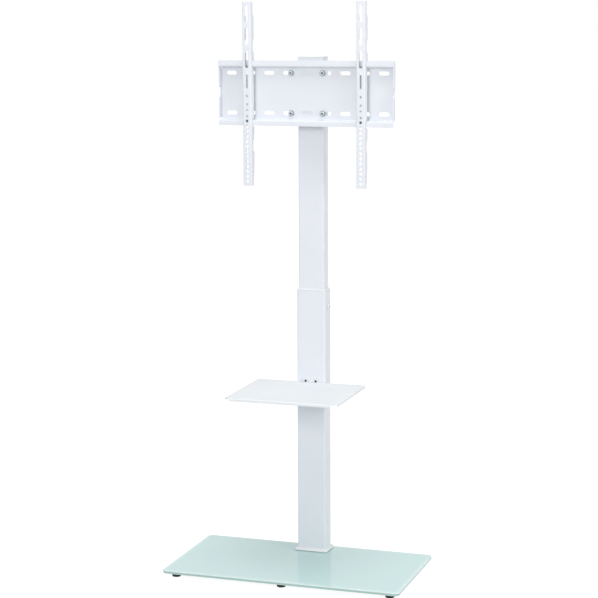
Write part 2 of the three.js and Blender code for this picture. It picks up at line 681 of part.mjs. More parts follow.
// Shelf: a folded tray with open corners and a tongue that the lower bolts clamp
function buildShelf() {
  const back = -SEAT_GAP;
  const front = back - SHELF_DEPTH;
  const x = SHELF_WIDTH / 2;
  const notchX = BRACKET_WIDTH / 2 + SEAT_GAP * 2;
  const notchY = -SEAT_GAP * 2 - BRACKET_SHEET;
  const outline = new THREE.Shape();
  outline.moveTo(-x, back);
  outline.lineTo(-x, front + SHELF_CORNER);
  outline.absarc(-x + SHELF_CORNER, front + SHELF_CORNER, SHELF_CORNER, Math.PI, Math.PI * 1.5);
  outline.lineTo(x - SHELF_CORNER, front);
  outline.absarc(x - SHELF_CORNER, front + SHELF_CORNER, SHELF_CORNER, -Math.PI / 2, 0);
  outline.lineTo(x, back);
  outline.lineTo(notchX, back);
  outline.lineTo(notchX, notchY);
  outline.lineTo(-notchX, notchY);
  outline.lineTo(-notchX, back);
  let shelf = solid(upward(outline, SHELF_SHEET).translate(0, 0, -SHELF_SHEET));
  const mid = SHELF_SHEET / 2;
  const leg = SHELF_CORNER;
  const rimPath = [[leg, -mid], [mid, -mid], [mid, -SHELF_FLANGE]];
  const rim = sheetOutline(rimPath, SHELF_SHEET, SHELF_SHEET);
  const frontRim = sideways(rim, SHELF_WIDTH - SHELF_CORNER * 2).translate(0, front, 0);
  const sideLength = SHELF_DEPTH - SHELF_CORNER;
  const sideY = (back + front + SHELF_CORNER) / 2;
  const leftRim = sideways(rim, sideLength).rotateZ(-Math.PI / 2).translate(-x, sideY, 0);
  const rightRim = sideways(rim, sideLength).rotateZ(Math.PI / 2).translate(x, sideY, 0);
  [frontRim, leftRim, rightRim].forEach((edge) => {
    shelf = shelf.add(solid(edge));
  });
  const tongueY = notchY - mid;
  const tonguePath = [[tongueY - leg, -mid], [tongueY, -mid], [tongueY, -SHELF_TONGUE_DROP]];
  const tongue = sideways(sheetOutline(tonguePath, SHELF_SHEET, SHELF_SHEET), SHELF_TONGUE_WIDTH);
  shelf = shelf.add(solid(tongue));
  const bore = SHELF_BOLT + THREAD_GAP * 2;
  const cutters = [-1, 1].map((side) => rod(
    'y',
    bore,
    SHELF_SHEET + CUT_OVERRUN * 2,
    HOLE_STEPS,
    side * SHELF_BOLT_PITCH / 2,
    tongueY - mid - CUT_OVERRUN,
    -SHELF_BOLT_DROP,
  ));
  piece(stand, 'shelf', cutAll(shelf, cutters), WHITE_STEEL, 0, outerFront, shelfTop);
}

// Small black bolts of the bracket: two show above the shelf, two are under it
function buildShelfBolts() {
  const names = ['upper_left', 'upper_right', 'lower_left', 'lower_right'];
  shelfBoltPlaces().forEach(([x, z], index) => {
    const below = index >= names.length / 2;
    const underHead = below ? SHELF_SHEET + SEAT_GAP : 0;
    const seat = outerFront - SEAT_GAP * 2 - BRACKET_SHEET - underHead;
    const head = rod('y', SHELF_BOLT_HEAD, SHELF_BOLT_HEAD_HEIGHT, SCREW_STEPS, 0, -SHELF_BOLT_HEAD_HEIGHT, 0);
    const shankLength = outerFront + TUBE_WALL + SHELF_BOLT_TIP - seat;
    const start = -SHELF_BOLT_HEAD_HEIGHT / 2;
    const shank = rod('y', SHELF_BOLT, shankLength - start, HOLE_STEPS, 0, start, 0);
    const bolt = solid(head).add(solid(shank));
    piece(stand, `shelf_bolt_${names[index]}`, bolt, BLACK_STEEL, x, seat, z);
  });
}

// Channel and plate that carry the wall plate in front of the column head
const mountMiddle = (upperRow + lowerRow) / 2;

const mountPlaces = [upperRow, lowerRow].flatMap((z) => [-1, 1].map((side) => [
  side * MOUNT_PITCH_X / 2,
  z,
]));

function buildMountPlate(head) {
  const half = (STANDOFF_WIDTH - STANDOFF_SHEET) / 2;
  const web = STANDOFF_SHEET / 2;
  const path = [[half, STANDOFF_DEPTH], [half, web], [-half, web], [-half, STANDOFF_DEPTH]];
  const channel = upward(sheetOutline(path, STANDOFF_SHEET, STANDOFF_BEND), STANDOFF_HEIGHT);
  const z = mountMiddle - STANDOFF_HEIGHT / 2;
  piece(head, 'standoff_channel', channel, WHITE_STEEL, 0, standoffFront, z);
  const outline = roundedRectangle(MOUNT_WIDTH, MOUNT_HEIGHT, MOUNT_CORNER);
  const bore = MOUNT_SCREW + THREAD_GAP * 2;
  const cutters = mountPlaces.map(([x, place]) => rod(
    'y',
    bore,
    MOUNT_THICKNESS + CUT_OVERRUN * 2,
    HOLE_STEPS,
    x,
    -CUT_OVERRUN,
    place - mountMiddle,
  ));
  const plate = cutAll(solid(backward(outline, MOUNT_THICKNESS)), cutters);
  piece(head, 'mount_plate', plate, WHITE_STEEL, 0, mountFront, mountMiddle);
}

// Four zinc screws with washers in front of the wall plate and nuts behind the mount plate
function buildMountScrews(head) {
  const bore = MOUNT_SCREW + THREAD_GAP * 2;
  const washerY = webFront - SEAT_GAP - MOUNT_WASHER_THICKNESS;
  const headY = washerY - SEAT_GAP;
  const nutY = mountFront + MOUNT_THICKNESS + SEAT_GAP;
  const washerCut = rod('y', bore, MOUNT_WASHER_THICKNESS + CUT_OVERRUN * 2, HOLE_STEPS, 0, -CUT_OVERRUN, 0);
  const nutCut = rod('y', bore, MOUNT_NUT_HEIGHT + CUT_OVERRUN * 2, HOLE_STEPS, 0, -CUT_OVERRUN, 0);
  mountPlaces.forEach(([x, z], index) => {
    const number = index + 1;
    const disc = rod('y', MOUNT_WASHER, MOUNT_WASHER_THICKNESS, SCREW_STEPS, 0, 0, 0);
    const washer = solid(disc).subtract(solid(washerCut));
    piece(head, `mount_washer_${number}`, washer, ZINC, x, washerY, z);
    const cap = rod('y', MOUNT_SCREW_HEAD, MOUNT_SCREW_HEAD_HEIGHT, SCREW_STEPS, 0, -MOUNT_SCREW_HEAD_HEIGHT, 0);
    const start = -MOUNT_SCREW_HEAD_HEIGHT / 2;
    const shankLength = nutY + MOUNT_NUT_HEIGHT + MOUNT_SCREW_TIP - headY - start;
    const shank = rod('y', MOUNT_SCREW, shankLength, HOLE_STEPS, 0, start, 0);
    const bladeDepth = CROSS_DEPTH + CUT_OVERRUN;
    const bladeY = -MOUNT_SCREW_HEAD_HEIGHT + CROSS_DEPTH - bladeDepth / 2;
    const flat = new THREE.BoxGeometry(CROSS_LENGTH, bladeDepth, CROSS_WIDTH).translate(0, bladeY, 0);
    const upright = new THREE.BoxGeometry(CROSS_WIDTH, bladeDepth, CROSS_LENGTH).translate(0, bladeY, 0);
    const screw = cutAll(solid(cap).add(solid(shank)), [flat, upright]);
    piece(head, `mount_screw_${number}`, screw, ZINC, x, headY, z);
    const block = rod('y', acrossCorners(MOUNT_NUT_FLATS), MOUNT_NUT_HEIGHT, HEX_SIDES, 0, 0, 0);
    piece(head, `mount_nut_${number}`, solid(block).subtract(solid(nutCut)), ZINC, x, nutY, z);
  });
}

// Wall plate: web, top lip turned up, bottom lip turned down, 18 slots, and waved side
// flanges that close the ends of the top lip
function buildWallPlate(head) {
  const mid = PLATE_SHEET / 2;
  const lipY = -PLATE_DEPTH + mid;
  const topFlange = -TOP_LIP + mid;
  const bottomFlange = -PLATE_HEIGHT + BOTTOM_LIP - mid;
  const path = [
    [lipY, -PLATE_HEIGHT],
    [lipY, bottomFlange],
    [mid, bottomFlange],
    [mid, topFlange],
    [lipY, topFlange],
    [lipY, 0],
  ];
  let plate = solid(sideways(sheetOutline(path, PLATE_SHEET, PLATE_BEND), PLATE_WIDTH));
  const lipRound = roundedRectangle(PLATE_WIDTH, PLATE_HEIGHT, LIP_CORNER);
  const envelope = backward(lipRound, PLATE_DEPTH + PLATE_SHEET + CUT_OVERRUN * 2);
  envelope.translate(0, -PLATE_DEPTH - CUT_OVERRUN, -PLATE_HEIGHT / 2);
  plate = plate.intersect(solid(envelope));
  const flangeBottom = bottomFlange + mid;
  const waveTop = -WAVE_BELOW_TOP;
  const waveBottom = waveTop - WAVE_LENGTH;
  const waveY = -SIDE_FLANGE_DEPTH + WAVE_DEPTH;
  const flange = new THREE.Shape();
  flange.moveTo(mid, flangeBottom);
  flange.lineTo(mid, 0);
  flange.lineTo(-SIDE_FLANGE_DEPTH, 0);
  flange.lineTo(-SIDE_FLANGE_DEPTH, waveTop);
  flange.lineTo(waveY, waveTop - WAVE_STEP);
  flange.bezierCurveTo(
    waveY,
    waveBottom,
    -SIDE_FLANGE_DEPTH,
    waveTop - WAVE_LENGTH / 2,
    -SIDE_FLANGE_DEPTH,
    waveBottom,
  );
  flange.lineTo(-SIDE_FLANGE_DEPTH, flangeBottom);
  const flangeX = (PLATE_WIDTH - PLATE_SHEET) / 2;
  [-1, 1].forEach((side) => {
    const wall = sideways(flange, PLATE_SHEET, CORNER_STEPS * 2).translate(side * flangeX, 0, 0);
    plate = plate.add(solid(wall));
  });
  const cutters = [];
  [upperRow, lowerRow].forEach((row) => {
    for (let i = 0; i < SLOT_COUNT; i += 1) {
      const x = (i - (SLOT_COUNT - 1) / 2) * SLOT_PITCH;
      const slot = backward(slotOutline(SLOT_LENGTH, SLOT_WIDTH), PLATE_SHEET + CUT_OVERRUN * 2, SLOT_STEPS);
      cutters.push(slot.translate(x, -CUT_OVERRUN, row - plateTop));
    }
  });
  piece(head, 'wall_plate', cutAll(plate, cutters), WHITE_STEEL, 0, webFront, plateTop);
}

// Side outline of an arm: straight front, stepped rear edge, hook over the top lip
// and a recess that clears the bottom lip. Zero is the top of the plate's lip.
function armSideOutline() {
  const top = ARM_ABOVE_LIP;
  const down = (distance) => top - distance;
  const stripY = ARM_FRONT_GAP - HOOK_PLAY;
  const fingerY = ARM_FRONT_GAP + PLATE_SHEET + HOOK_PLAY;
  const fingerEnd = -TOP_LIP + PLATE_SHEET + PLATE_BEND + HOOK_PLAY;
  const bottomRecess = -PLATE_HEIGHT + BOTTOM_LIP + HOOK_PLAY;
  const end = down(ARM_LENGTH);
  const outline = new THREE.Shape();
  outline.moveTo(0, end);
  outline.lineTo(0, top);
  outline.lineTo(ARM_DEPTH - ARM_CORNER, top);
  outline.quadraticCurveTo(ARM_DEPTH, top, ARM_DEPTH, top - ARM_CORNER);
  outline.lineTo(ARM_DEPTH, down(SHOULDER_START - STEP_SLOPE));
  outline.lineTo(ARM_WIDE_DEPTH, down(SHOULDER_START));
  outline.lineTo(ARM_WIDE_DEPTH, down(SHOULDER_END));
  outline.lineTo(ARM_DEPTH, down(SHOULDER_END + STEP_SLOPE));
  outline.lineTo(ARM_DEPTH, down(HOOK_START));
  outline.bezierCurveTo(
    ARM_DEPTH,
    down(HOOK_START + HOOK_RISE / 2),
    ARM_HOOK_DEPTH,
    down(HOOK_START + HOOK_RISE / 2),
    ARM_HOOK_DEPTH,
    down(HOOK_START + HOOK_RISE),
  );
  outline.lineTo(ARM_HOOK_DEPTH, fingerEnd + ARM_CORNER);
  outline.quadraticCurveTo(ARM_HOOK_DEPTH, fingerEnd, ARM_HOOK_DEPTH - ARM_CORNER, fingerEnd);
  outline.lineTo(fingerY, fingerEnd);
  outline.lineTo(fingerY, SEAT_GAP);
  outline.lineTo(stripY, SEAT_GAP);
  outline.lineTo(stripY, -TOP_LIP - HOOK_PLAY);
  outline.lineTo(ARM_TRAY_DEPTH - ARM_CORNER, -TOP_LIP - HOOK_PLAY);
  outline.lineTo(ARM_TRAY_DEPTH, -TOP_LIP - HOOK_PLAY - ARM_CORNER);
  outline.lineTo(ARM_TRAY_DEPTH, bottomRecess + ARM_CORNER);
  outline.lineTo(ARM_TRAY_DEPTH - ARM_CORNER, bottomRecess);
  outline.lineTo(stripY, bottomRecess);
  outline.lineTo(stripY, -PLATE_HEIGHT - HOOK_PLAY);
  outline.lineTo(ARM_WIDE_DEPTH, -PLATE_HEIGHT - HOOK_PLAY - STEP_SLOPE);
  outline.lineTo(ARM_WIDE_DEPTH, down(LOWER_STEP_END));
  outline.lineTo(ARM_DEPTH, down(LOWER_STEP_END + STEP_SLOPE));
  outline.lineTo(ARM_DEPTH, down(LOWER_STEP_RESUME - STEP_SLOPE));
  outline.lineTo(ARM_WIDE_DEPTH, down(LOWER_STEP_RESUME));
  outline.lineTo(ARM_WIDE_DEPTH, down(LOWER_TAPER_START));
  outline.lineTo(ARM_DEPTH, end + ARM_CORNER);
  outline.quadraticCurveTo(ARM_DEPTH, end, ARM_DEPTH - ARM_CORNER, end);
  return outline;
}

// Cutters of the arm's front face: three long slots, a slit, small holes and a row
function armCutters() {
  const thickness = ARM_SHEET + CUT_OVERRUN * 2;
  const down = (distance) => ARM_ABOVE_LIP - distance;
  const uprightSlot = (length, width, start) => {
    const slot = backward(roundedRectangle(width, length, width / 2 - MERGE_DISTANCE), thickness, SLOT_STEPS);
    return slot.translate(0, -CUT_OVERRUN, down(start + length / 2));
  };
  const hole = (diameter, place) => rod('y', diameter, thickness, HOLE_STEPS, 0, -CUT_OVERRUN, down(place));
  const cutters = ARM_SLOT_STARTS.map((start) => uprightSlot(ARM_SLOT_LENGTH, ARM_SLOT_WIDTH, start));
  cutters.push(uprightSlot(SLIT_LENGTH, SLIT_WIDTH, SLIT_START));
  SMALL_HOLE_PLACES.forEach((place) => cutters.push(hole(SMALL_HOLE, place)));
  cutters.push(hole(GRUB_DIAMETER + THREAD_GAP * 2, GRUB_PLACE));
  for (let place = ROW_START; place < ARM_LENGTH - ROW_END_MARGIN; place += ROW_PITCH) {
    cutters.push(hole(ROW_HOLE, place));
  }
  return cutters;
}

// Arm: a channel cut to its side outline and perforated, with its lock nut and grub screw
function buildArm(arm, side) {
  const half = (ARM_WIDTH - ARM_SHEET) / 2;
  const web = ARM_SHEET / 2;
  const rear = ARM_HOOK_DEPTH + CUT_OVERRUN;
  const path = [[half, rear], [half, web], [-half, web], [-half, rear]];
  const channel = solid(upward(sheetOutline(path, ARM_SHEET, ARM_BEND), ARM_LENGTH));
  const raised = channel.translate([0, 0, ARM_ABOVE_LIP - ARM_LENGTH]);
  const shaped = raised.intersect(solid(sideways(armSideOutline(), ARM_WIDTH + CUT_OVERRUN * 2)));
  piece(arm, `${side}_arm`, cutAll(shaped, armCutters()), WHITE_STEEL, 0, 0, 0);
  const bore = GRUB_DIAMETER + THREAD_GAP * 2;
  const z = ARM_ABOVE_LIP - GRUB_PLACE;
  const nutOutline = roundedRectangle(GRUB_NUT_SIDE, GRUB_NUT_SIDE, NUT_CORNER);
  const nutHole = rod('y', bore, GRUB_NUT_THICKNESS + CUT_OVERRUN * 2, HOLE_STEPS, 0, -CUT_OVERRUN, 0);
  const nut = cutAll(solid(backward(nutOutline, GRUB_NUT_THICKNESS)), [nutHole]);
  piece(arm, `${side}_arm_nut`, nut, ZINC, 0, ARM_SHEET + SEAT_GAP, z);
  const length = ARM_FRONT_GAP - SEAT_GAP;
  const shank = rod('y', GRUB_DIAMETER, length, HOLE_STEPS, 0, 0, 0);
  const socket = rod('y', GRUB_SOCKET, GRUB_SOCKET_DEPTH + CUT_OVERRUN, HEX_SIDES, 0, -CUT_OVERRUN, 0);
  piece(arm, `${side}_arm_lock_screw`, cutAll(solid(shank), [socket]), BLACK_STEEL, 0, 0, z);
}

buildGlass();
buildFeet();
buildClamp();
buildOuterTube();
buildBush();
buildShelfBracket();
buildShelf();
buildShelfBolts();

const head = new THREE.Group();
stand.add(head);
buildInnerTube(head);
buildGlide(head);
buildCap(head);
buildMountPlate(head);
buildMountScrews(head);
buildWallPlate(head);
buildHeightLock(stand);

[['left', ARM_LEFT_PLACE], ['right', ARM_RIGHT_PLACE]].forEach(([side, x]) => {
  const arm = new THREE.Group();
  arm.position.set(x, armFront, plateTop);
  head.add(arm);
  buildArm(arm, side);
});

export default stand;
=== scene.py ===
# Looks of a floor stand for a television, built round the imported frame. Metres, +Z up,
# the screen side facing -Y. The sections follow the stand as it is put together.
import math

import bmesh
import bpy
from mathutils import Matrix, Vector


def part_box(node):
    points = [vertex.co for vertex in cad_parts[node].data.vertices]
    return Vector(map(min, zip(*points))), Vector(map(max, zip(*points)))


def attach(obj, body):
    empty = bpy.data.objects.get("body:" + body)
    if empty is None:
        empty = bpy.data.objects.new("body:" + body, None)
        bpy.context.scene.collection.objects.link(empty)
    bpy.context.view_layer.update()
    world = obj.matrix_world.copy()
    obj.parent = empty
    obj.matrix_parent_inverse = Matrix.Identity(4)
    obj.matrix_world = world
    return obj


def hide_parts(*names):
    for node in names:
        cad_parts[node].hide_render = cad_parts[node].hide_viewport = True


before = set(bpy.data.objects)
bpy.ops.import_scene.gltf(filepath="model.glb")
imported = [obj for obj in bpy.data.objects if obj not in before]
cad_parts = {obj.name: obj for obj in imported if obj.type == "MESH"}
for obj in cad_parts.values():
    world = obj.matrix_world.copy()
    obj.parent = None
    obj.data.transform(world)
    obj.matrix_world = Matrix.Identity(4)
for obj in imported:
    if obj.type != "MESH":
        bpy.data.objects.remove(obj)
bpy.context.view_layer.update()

scene = bpy.context.scene
scene.view_settings.view_transform = "Standard"


# Camera: the photo's viewpoint, fitted to the corners of the glass, the plate and the
# column. The lens gives the fitted focal length on a frame of 598 pixels.
FRAME_PIXELS = 598
FOCAL_PIXELS = 1824
SENSOR = 36.0
EYE = (1.39380, -4.13937, 1.36675)
YAW = 0.3241
PITCH = 0.1556
ROLL = -0.0042


def placed(name, data):
    """A new object in the scene."""
    made = bpy.data.objects.new(name, data)
    scene.collection.objects.link(made)
    return made


onward = math.cos(PITCH)
ahead = Vector((-math.sin(YAW) * onward, math.cos(YAW) * onward, -math.sin(PITCH)))
level = Vector((math.cos(YAW), math.sin(YAW), 0.0))
above = level.cross(ahead)
across = level * math.cos(ROLL) + above * math.sin(ROLL)
upright = above * math.cos(ROLL) - level * math.sin(ROLL)
camera = placed("camera", bpy.data.cameras.new("camera"))
camera.data.sensor_width = SENSOR
camera.data.lens = SENSOR * FOCAL_PIXELS / FRAME_PIXELS
camera.data.clip_end = 100.0
turned_camera = Matrix((across, upright, -ahead)).transposed().to_4x4()
camera.matrix_world = Matrix.Translation(EYE) @ turned_camera
scene.camera = camera


# Studio: a wide white paper floor under soft boxes. The paper's own glow makes it white to
# the camera and in reflections, and its matt part keeps the shadow of the stand.
FLOOR_SIZE = 60.0
WHITE = (1.0, 1.0, 1.0, 1.0)
# Soft boxes: name, place, what it aims at, width, power in watts and colour
SOFT_BOXES = [
    ("key_box", (-0.75, -5.2, 2.3), (0.0, 0.0, 0.85), 1.3, 68.0, (1.0, 1.0, 1.0)),
    ("top_box", (0.2, -0.6, 3.4), (0.0, 0.0, 0.4), 1.6, 29.0, (1.0, 1.0, 1.0)),
    ("side_box", (3.7, -0.9, 1.4), (0.0, 0.0, 0.85), 1.8, 39.0, (1.0, 0.985, 0.96)),
]


class Value:
    """A socket of a node tree, so that sums and products of it read as plain arithmetic."""

    def __init__(self, nodes, socket):
        self.nodes = nodes
        self.socket = socket

    def worked(self, operation, *numbers):
        return self.nodes.node("ShaderNodeMath", dict(enumerate(numbers)), operation=operation)

    def __add__(self, other):
        return self.worked("ADD", self, other)

    def __sub__(self, other):
        return self.worked("SUBTRACT", self, other)

    def __rsub__(self, other):
        return self.worked("SUBTRACT", other, self)

    def __mul__(self, other):
        return self.worked("MULTIPLY", self, other)

    def __truediv__(self, other):
        return self.worked("DIVIDE", self, other)

    def __rtruediv__(self, other):
        return self.worked("DIVIDE", other, self)

    __radd__ = __add__
    __rmul__ = __mul__

    def sine(self):
        return self.worked("SINE", self)

    def absolute(self):
        return self.worked("ABSOLUTE", self)

    def least(self, other):
        return self.worked("MINIMUM", self, other)


class Nodes:
    """A node tree being written. Its method node adds any node, also for the other methods."""

    def __init__(self, tree):
        self.tree = tree

    def node(self, kind, inputs=None, output=0, stops=None, **settings):
        """Adds a node, its settings first, and hands back one of its outputs."""
        made = self.tree.nodes.new(kind)
        for name, setting in settings.items():
            setattr(made, name, setting)
        if stops:
            marks = made.color_ramp.elements
            while len(marks) < len(stops):
                marks.new(0.5)
            for mark, (place, colour) in zip(marks, stops):
                mark.position = place
                mark.color = colour
        for key, given in (inputs or {}).items():
            for part in given if isinstance(given, list) else [given]:
                if isinstance(part, Value):
                    self.tree.links.new(part.socket, made.inputs[key])
                else:
                    made.inputs[key].default_value = part
        return Value(self, made.outputs[output]) if made.outputs else None

    def coords(self):
        return self.node("ShaderNodeTexCoord", output="Object")

    def along(self, axis, vector=None):
        return self.node("ShaderNodeSeparateXYZ", {"Vector": vector or self.coords()}, axis)

    def noise(self, scale, detail):
        inputs = {"Vector": self.coords(), "Scale": scale, "Detail": detail}
        return self.node("ShaderNodeTexNoise", inputs, "Fac")

    def relief(self, height, strength, distance):
        inputs = {"Height": height, "Strength": strength, "Distance": distance}
        return self.node("ShaderNodeBump", inputs)

    def blend(self, share, low, high):
        return self.node("ShaderNodeMix", {0: share, 6: low, 7: high}, 2, data_type="RGBA")

    def share(self, value, low, high):
        """How far the value is on its way from low to high, from 0 to 1."""
        inputs = {"Value": value, "From Min": low, "From Max": high}
        return self.node("ShaderNodeMapRange", inputs)


def started_material(name):
    material = bpy.data.materials.new(name)
    material.use_nodes = True
    material.node_tree.nodes.clear()
    return material, Nodes(material.node_tree)


def studio_rays(nodes):
    """1 for what the camera, a mirror or clear glass sees, 0 for what lights the object."""
    seen = nodes.node("ShaderNodeLightPath", output="Is Camera Ray")
    glossy = nodes.node("ShaderNodeLightPath", output="Is Glossy Ray")
    through = nodes.node("ShaderNodeLightPath", output="Is Transmission Ray")
    return seen + glossy + through


paper, nodes = started_material("white_paper")
tooth = nodes.relief(nodes.noise(scale=400.0, detail=2.0), strength=0.05, distance=0.0002)
matt = nodes.node("ShaderNodeBsdfDiffuse", {"Color": (0.75, 0.755, 0.75, 1.0), "Normal": tooth})
dim = nodes.node("ShaderNodeBsdfDiffuse", {"Color": (0.26, 0.26, 0.26, 1.0), "Normal": tooth})
glow = nodes.node("ShaderNodeEmission", {"Strength": 0.92})
white = nodes.node("ShaderNodeAddShader", {0: dim, 1: glow})
choice = nodes.node("ShaderNodeMixShader", {0: studio_rays(nodes), 1: matt, 2: white})
nodes.node("ShaderNodeOutputMaterial", {"Surface": choice})

floor_mesh = bpy.data.meshes.new("paper_floor")
half = FLOOR_SIZE / 2
corners = [(-half, -half, 0.0), (half, -half, 0.0), (half, half, 0.0), (-half, half, 0.0)]
floor_mesh.from_pydata(corners, [], [(0, 1, 2, 3)])
floor_mesh.materials.append(paper)
placed("paper_floor", floor_mesh)

scene.world = bpy.data.worlds.new("studio")
scene.world.use_nodes = True
scene.world.node_tree.nodes.clear()
nodes = Nodes(scene.world.node_tree)
fill = nodes.node("ShaderNodeBackground", {"Color": (0.97, 0.98, 1.0, 1.0), "Strength": 0.56})
backdrop = nodes.node("ShaderNodeBackground", {"Color": WHITE, "Strength": 1.0})
choice = nodes.node("ShaderNodeMixShader", {0: studio_rays(nodes), 1: fill, 2: backdrop})
nodes.node("ShaderNodeOutputWorld", {"Surface": choice})

for name, place, aim, width, power, colour in SOFT_BOXES:
    lamp = bpy.data.lights.new(name, "AREA")
    lamp.shape = "SQUARE"
    lamp.size = width
    lamp.energy = power
    lamp.color = colour
    box = placed(name, lamp)
    box.matrix_world = Matrix.Translation(place)
    box.rotation_mode = "QUATERNION"
    box.rotation_quaternion = (Vector(aim) - Vector(place)).to_track_quat("-Z", "Y")


# Glass base: an 8 mm slab of tempered glass, its back enamelled in a pale green, with
# polished rims, round corners and four drilled bores for the bolts of the column.
GLASS_BORE = 0.012
# Rim colour from its foot up: lighter foot, own dark green middle, painted highlight on the top
# arris
GLASS_RIM_STOPS_WITH_HIGHLIGHT = [(0.0, (0.55, 0.55, 0.55, 1.0)), (0.5, (0.0, 0.0, 0.0, 1.0)), (0.82, WHITE)]
ARC_STEPS = 12
SHEET_MERGE = 0.000002
FULL_ROUND_SHARE = 0.9995
SHEET_RIM = 0.00025
RIM_STEPS = 2
FLOAT = "NodeSocketFloat"
VECTOR = "NodeSocketVector"
WHOLE = "NodeSocketInt"
FINISH = "NodeSocketMaterial"


def middle(node):
    low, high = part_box(node)
    return (low + high) / 2


def size(node):
    low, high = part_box(node)
    return high - low


def four(kind):
    """The names of four like nodes."""
    return [f"{kind}_{number}" for number in range(1, 5)]


def moved(mesh, place):
    mesh.transform(Matrix.Translation(place))
    return mesh


def rounded_rectangle(width, depth, corner, steps=ARC_STEPS):
    """Points round a rectangle with round corners, anticlockwise."""
    points = []
    for quarter, (side_x, side_y) in enumerate([(1, 1), (-1, 1), (-1, -1), (1, -1)]):
        for step in range(steps + 1):
            angle = (quarter + step / steps) * math.pi / 2
            x = side_x * (width / 2 - corner) + corner * math.cos(angle)
            y = side_y * (depth / 2 - corner) + corner * math.sin(angle)
            points.append((x, y))
    return points


def new_tree(name, inputs):
    """A Geometry Nodes tree with named inputs, and the values that they give."""
    tree = bpy.data.node_groups.new(name, "GeometryNodeTree")
    inputs = {"Geometry": "NodeSocketGeometry", **inputs}
    for label, kind in inputs.items():
        tree.interface.new_socket(label, in_out="INPUT", socket_type=kind)
    tree.interface.new_socket("Geometry", in_out="OUTPUT", socket_type="NodeSocketGeometry")
    nodes = Nodes(tree)
    start = tree.nodes.new("NodeGroupInput")
    return nodes, {label: Value(nodes, start.outputs[label]) for label in inputs}


def close_tree(nodes, shape, finish):
    """Ends a tree: its instances are made real, and they get their finish."""
    shape = nodes.node("GeometryNodeRealizeInstances", {"Geometry": shape})
    shape = nodes.node("GeometryNodeSetMaterial", {"Geometry": shape, "Material": finish})
    nodes.node("NodeGroupOutput", {"Geometry": shape})


def run_tree(holder, nodes, values):
    """Adds the tree as a modifier. Its inputs are set by the identifiers of their sockets."""
    modifier = holder.modifiers.new(nodes.tree.name, "NODES")
    modifier.node_group = nodes.tree
    for item in nodes.tree.interface.items_tree:
        if item.in_out == "INPUT" and item.name in values:
            modifier[item.identifier] = values[item.name]


# Press tool that adds a row of slots, or of round holes, to the outline of a blank
punch, given = new_tree("punch_row", {
    "Width": FLOAT, "Height": FLOAT, "Corner": FLOAT, "First": VECTOR, "Step": VECTOR,
    "Count": WHOLE,
})
shape = punch.node(
    "GeometryNodeCurvePrimitiveQuadrilateral",
    {"Width": given["Width"], "Height": given["Height"]}, mode="RECTANGLE",
)
shape = punch.node(
    "GeometryNodeFilletCurve",
    {"Curve": shape, "Count": 7, "Radius": given["Corner"], "Limit Radius": True},
    mode="POLY",
)
shape = punch.node("GeometryNodeCurveToMesh", {"Curve": shape})
shape = punch.node("GeometryNodeMergeByDistance", {"Geometry": shape, "Distance": 0.00004})
places = punch.node(
    "GeometryNodeMeshLine",
    {"Count": given["Count"], "Start Location": given["First"], "Offset": given["Step"]},
    mode="OFFSET",
)
row = punch.node("GeometryNodeInstanceOnPoints", {"Points": places, "Instance": shape})
row = punch.node("GeometryNodeRealizeInstances", {"Geometry": row})
row = punch.node("GeometryNodeJoinGeometry", {"Geometry": [given["Geometry"], row]})
punch.node("NodeGroupOutput", {"Geometry": row})

# Press tool that turns outlines into a flat sheet, its middle at zero
sheet, given = new_tree("cut_sheet", {"Thickness": FLOAT, "Finish": FINISH})
wires = sheet.node("GeometryNodeMeshToCurve", {"Mesh": given["Geometry"]})
face = sheet.node("GeometryNodeFillCurve", {"Curve": wires}, mode="NGONS")
lift = sheet.node("ShaderNodeCombineXYZ", {"Z": given["Thickness"]})
drop = sheet.node("ShaderNodeCombineXYZ", {"Z": given["Thickness"] * -0.5})
walls = {"Mesh": face, "Offset": lift, "Individual": False}
walls = sheet.node("GeometryNodeExtrudeMesh", walls)
under = sheet.node("GeometryNodeFlipFaces", {"Mesh": face})
slab = sheet.node("GeometryNodeJoinGeometry", {"Geometry": [walls, under]})
slab = sheet.node("GeometryNodeMergeByDistance", {"Geometry": slab, "Distance": SHEET_MERGE})
slab = sheet.node("GeometryNodeTransform", {"Geometry": slab, "Translation": drop})
close_tree(sheet, slab, given["Finish"])


def slot_row(width, height, first, step=(0.0, 0.0, 0.0), count=1):
    corner = min(width, height) / 2 * FULL_ROUND_SHARE
    shape = {"Width": width, "Height": height, "Corner": corner}
    return {**shape, "First": first, "Step": step, "Count": count}


def round_row(diameter, first, step=(0.0, 0.0, 0.0), count=1):
    return slot_row(diameter, diameter, first, step, count)


def bores(screws, diameter, zero, up=1):
    """A round hole for each screw, in a sheet with its zero there and its height along up."""
    rows = []
    for node in screws:
        place = middle(node)
        rows.append(round_row(diameter, (place.x - zero[0], place[up] - zero[up], 0.0)))
    return rows


def wire_mesh(outline):
    mesh = bpy.data.meshes.new("wire")
    count = len(outline)
    edges = [(i, (i + 1) % count) for i in range(count)]
    mesh.from_pydata([(x, y, 0.0) for x, y in outline], edges, [])
    return mesh


def evaluated_mesh(holder):
    """The holder's finished mesh. The holder and its modifiers are then removed."""
    finished = holder.evaluated_get(bpy.context.evaluated_depsgraph_get())
    mesh = bpy.data.meshes.new_from_object(finished)
    bpy.data.objects.remove(holder)
    return mesh


def blank(outline, rows, thickness, finish, rim=SHEET_RIM, rim_steps=RIM_STEPS):
    """A flat sheet cut to an outline, punched with rows of holes, with its rims rounded."""
    holder = placed("blank", wire_mesh(outline))
    for values in rows:
        run_tree(holder, punch, values)
    run_tree(holder, sheet, {"Thickness": thickness, "Finish": finish})
    bevel = holder.modifiers.new("rim", "BEVEL")
    bevel.width = rim
    bevel.segments = rim_steps
    bevel.limit_method = "ANGLE"
    bevel.angle_limit = math.radians(50)
    bevel.use_clamp_overlap = False
    return evaluated_mesh(holder)


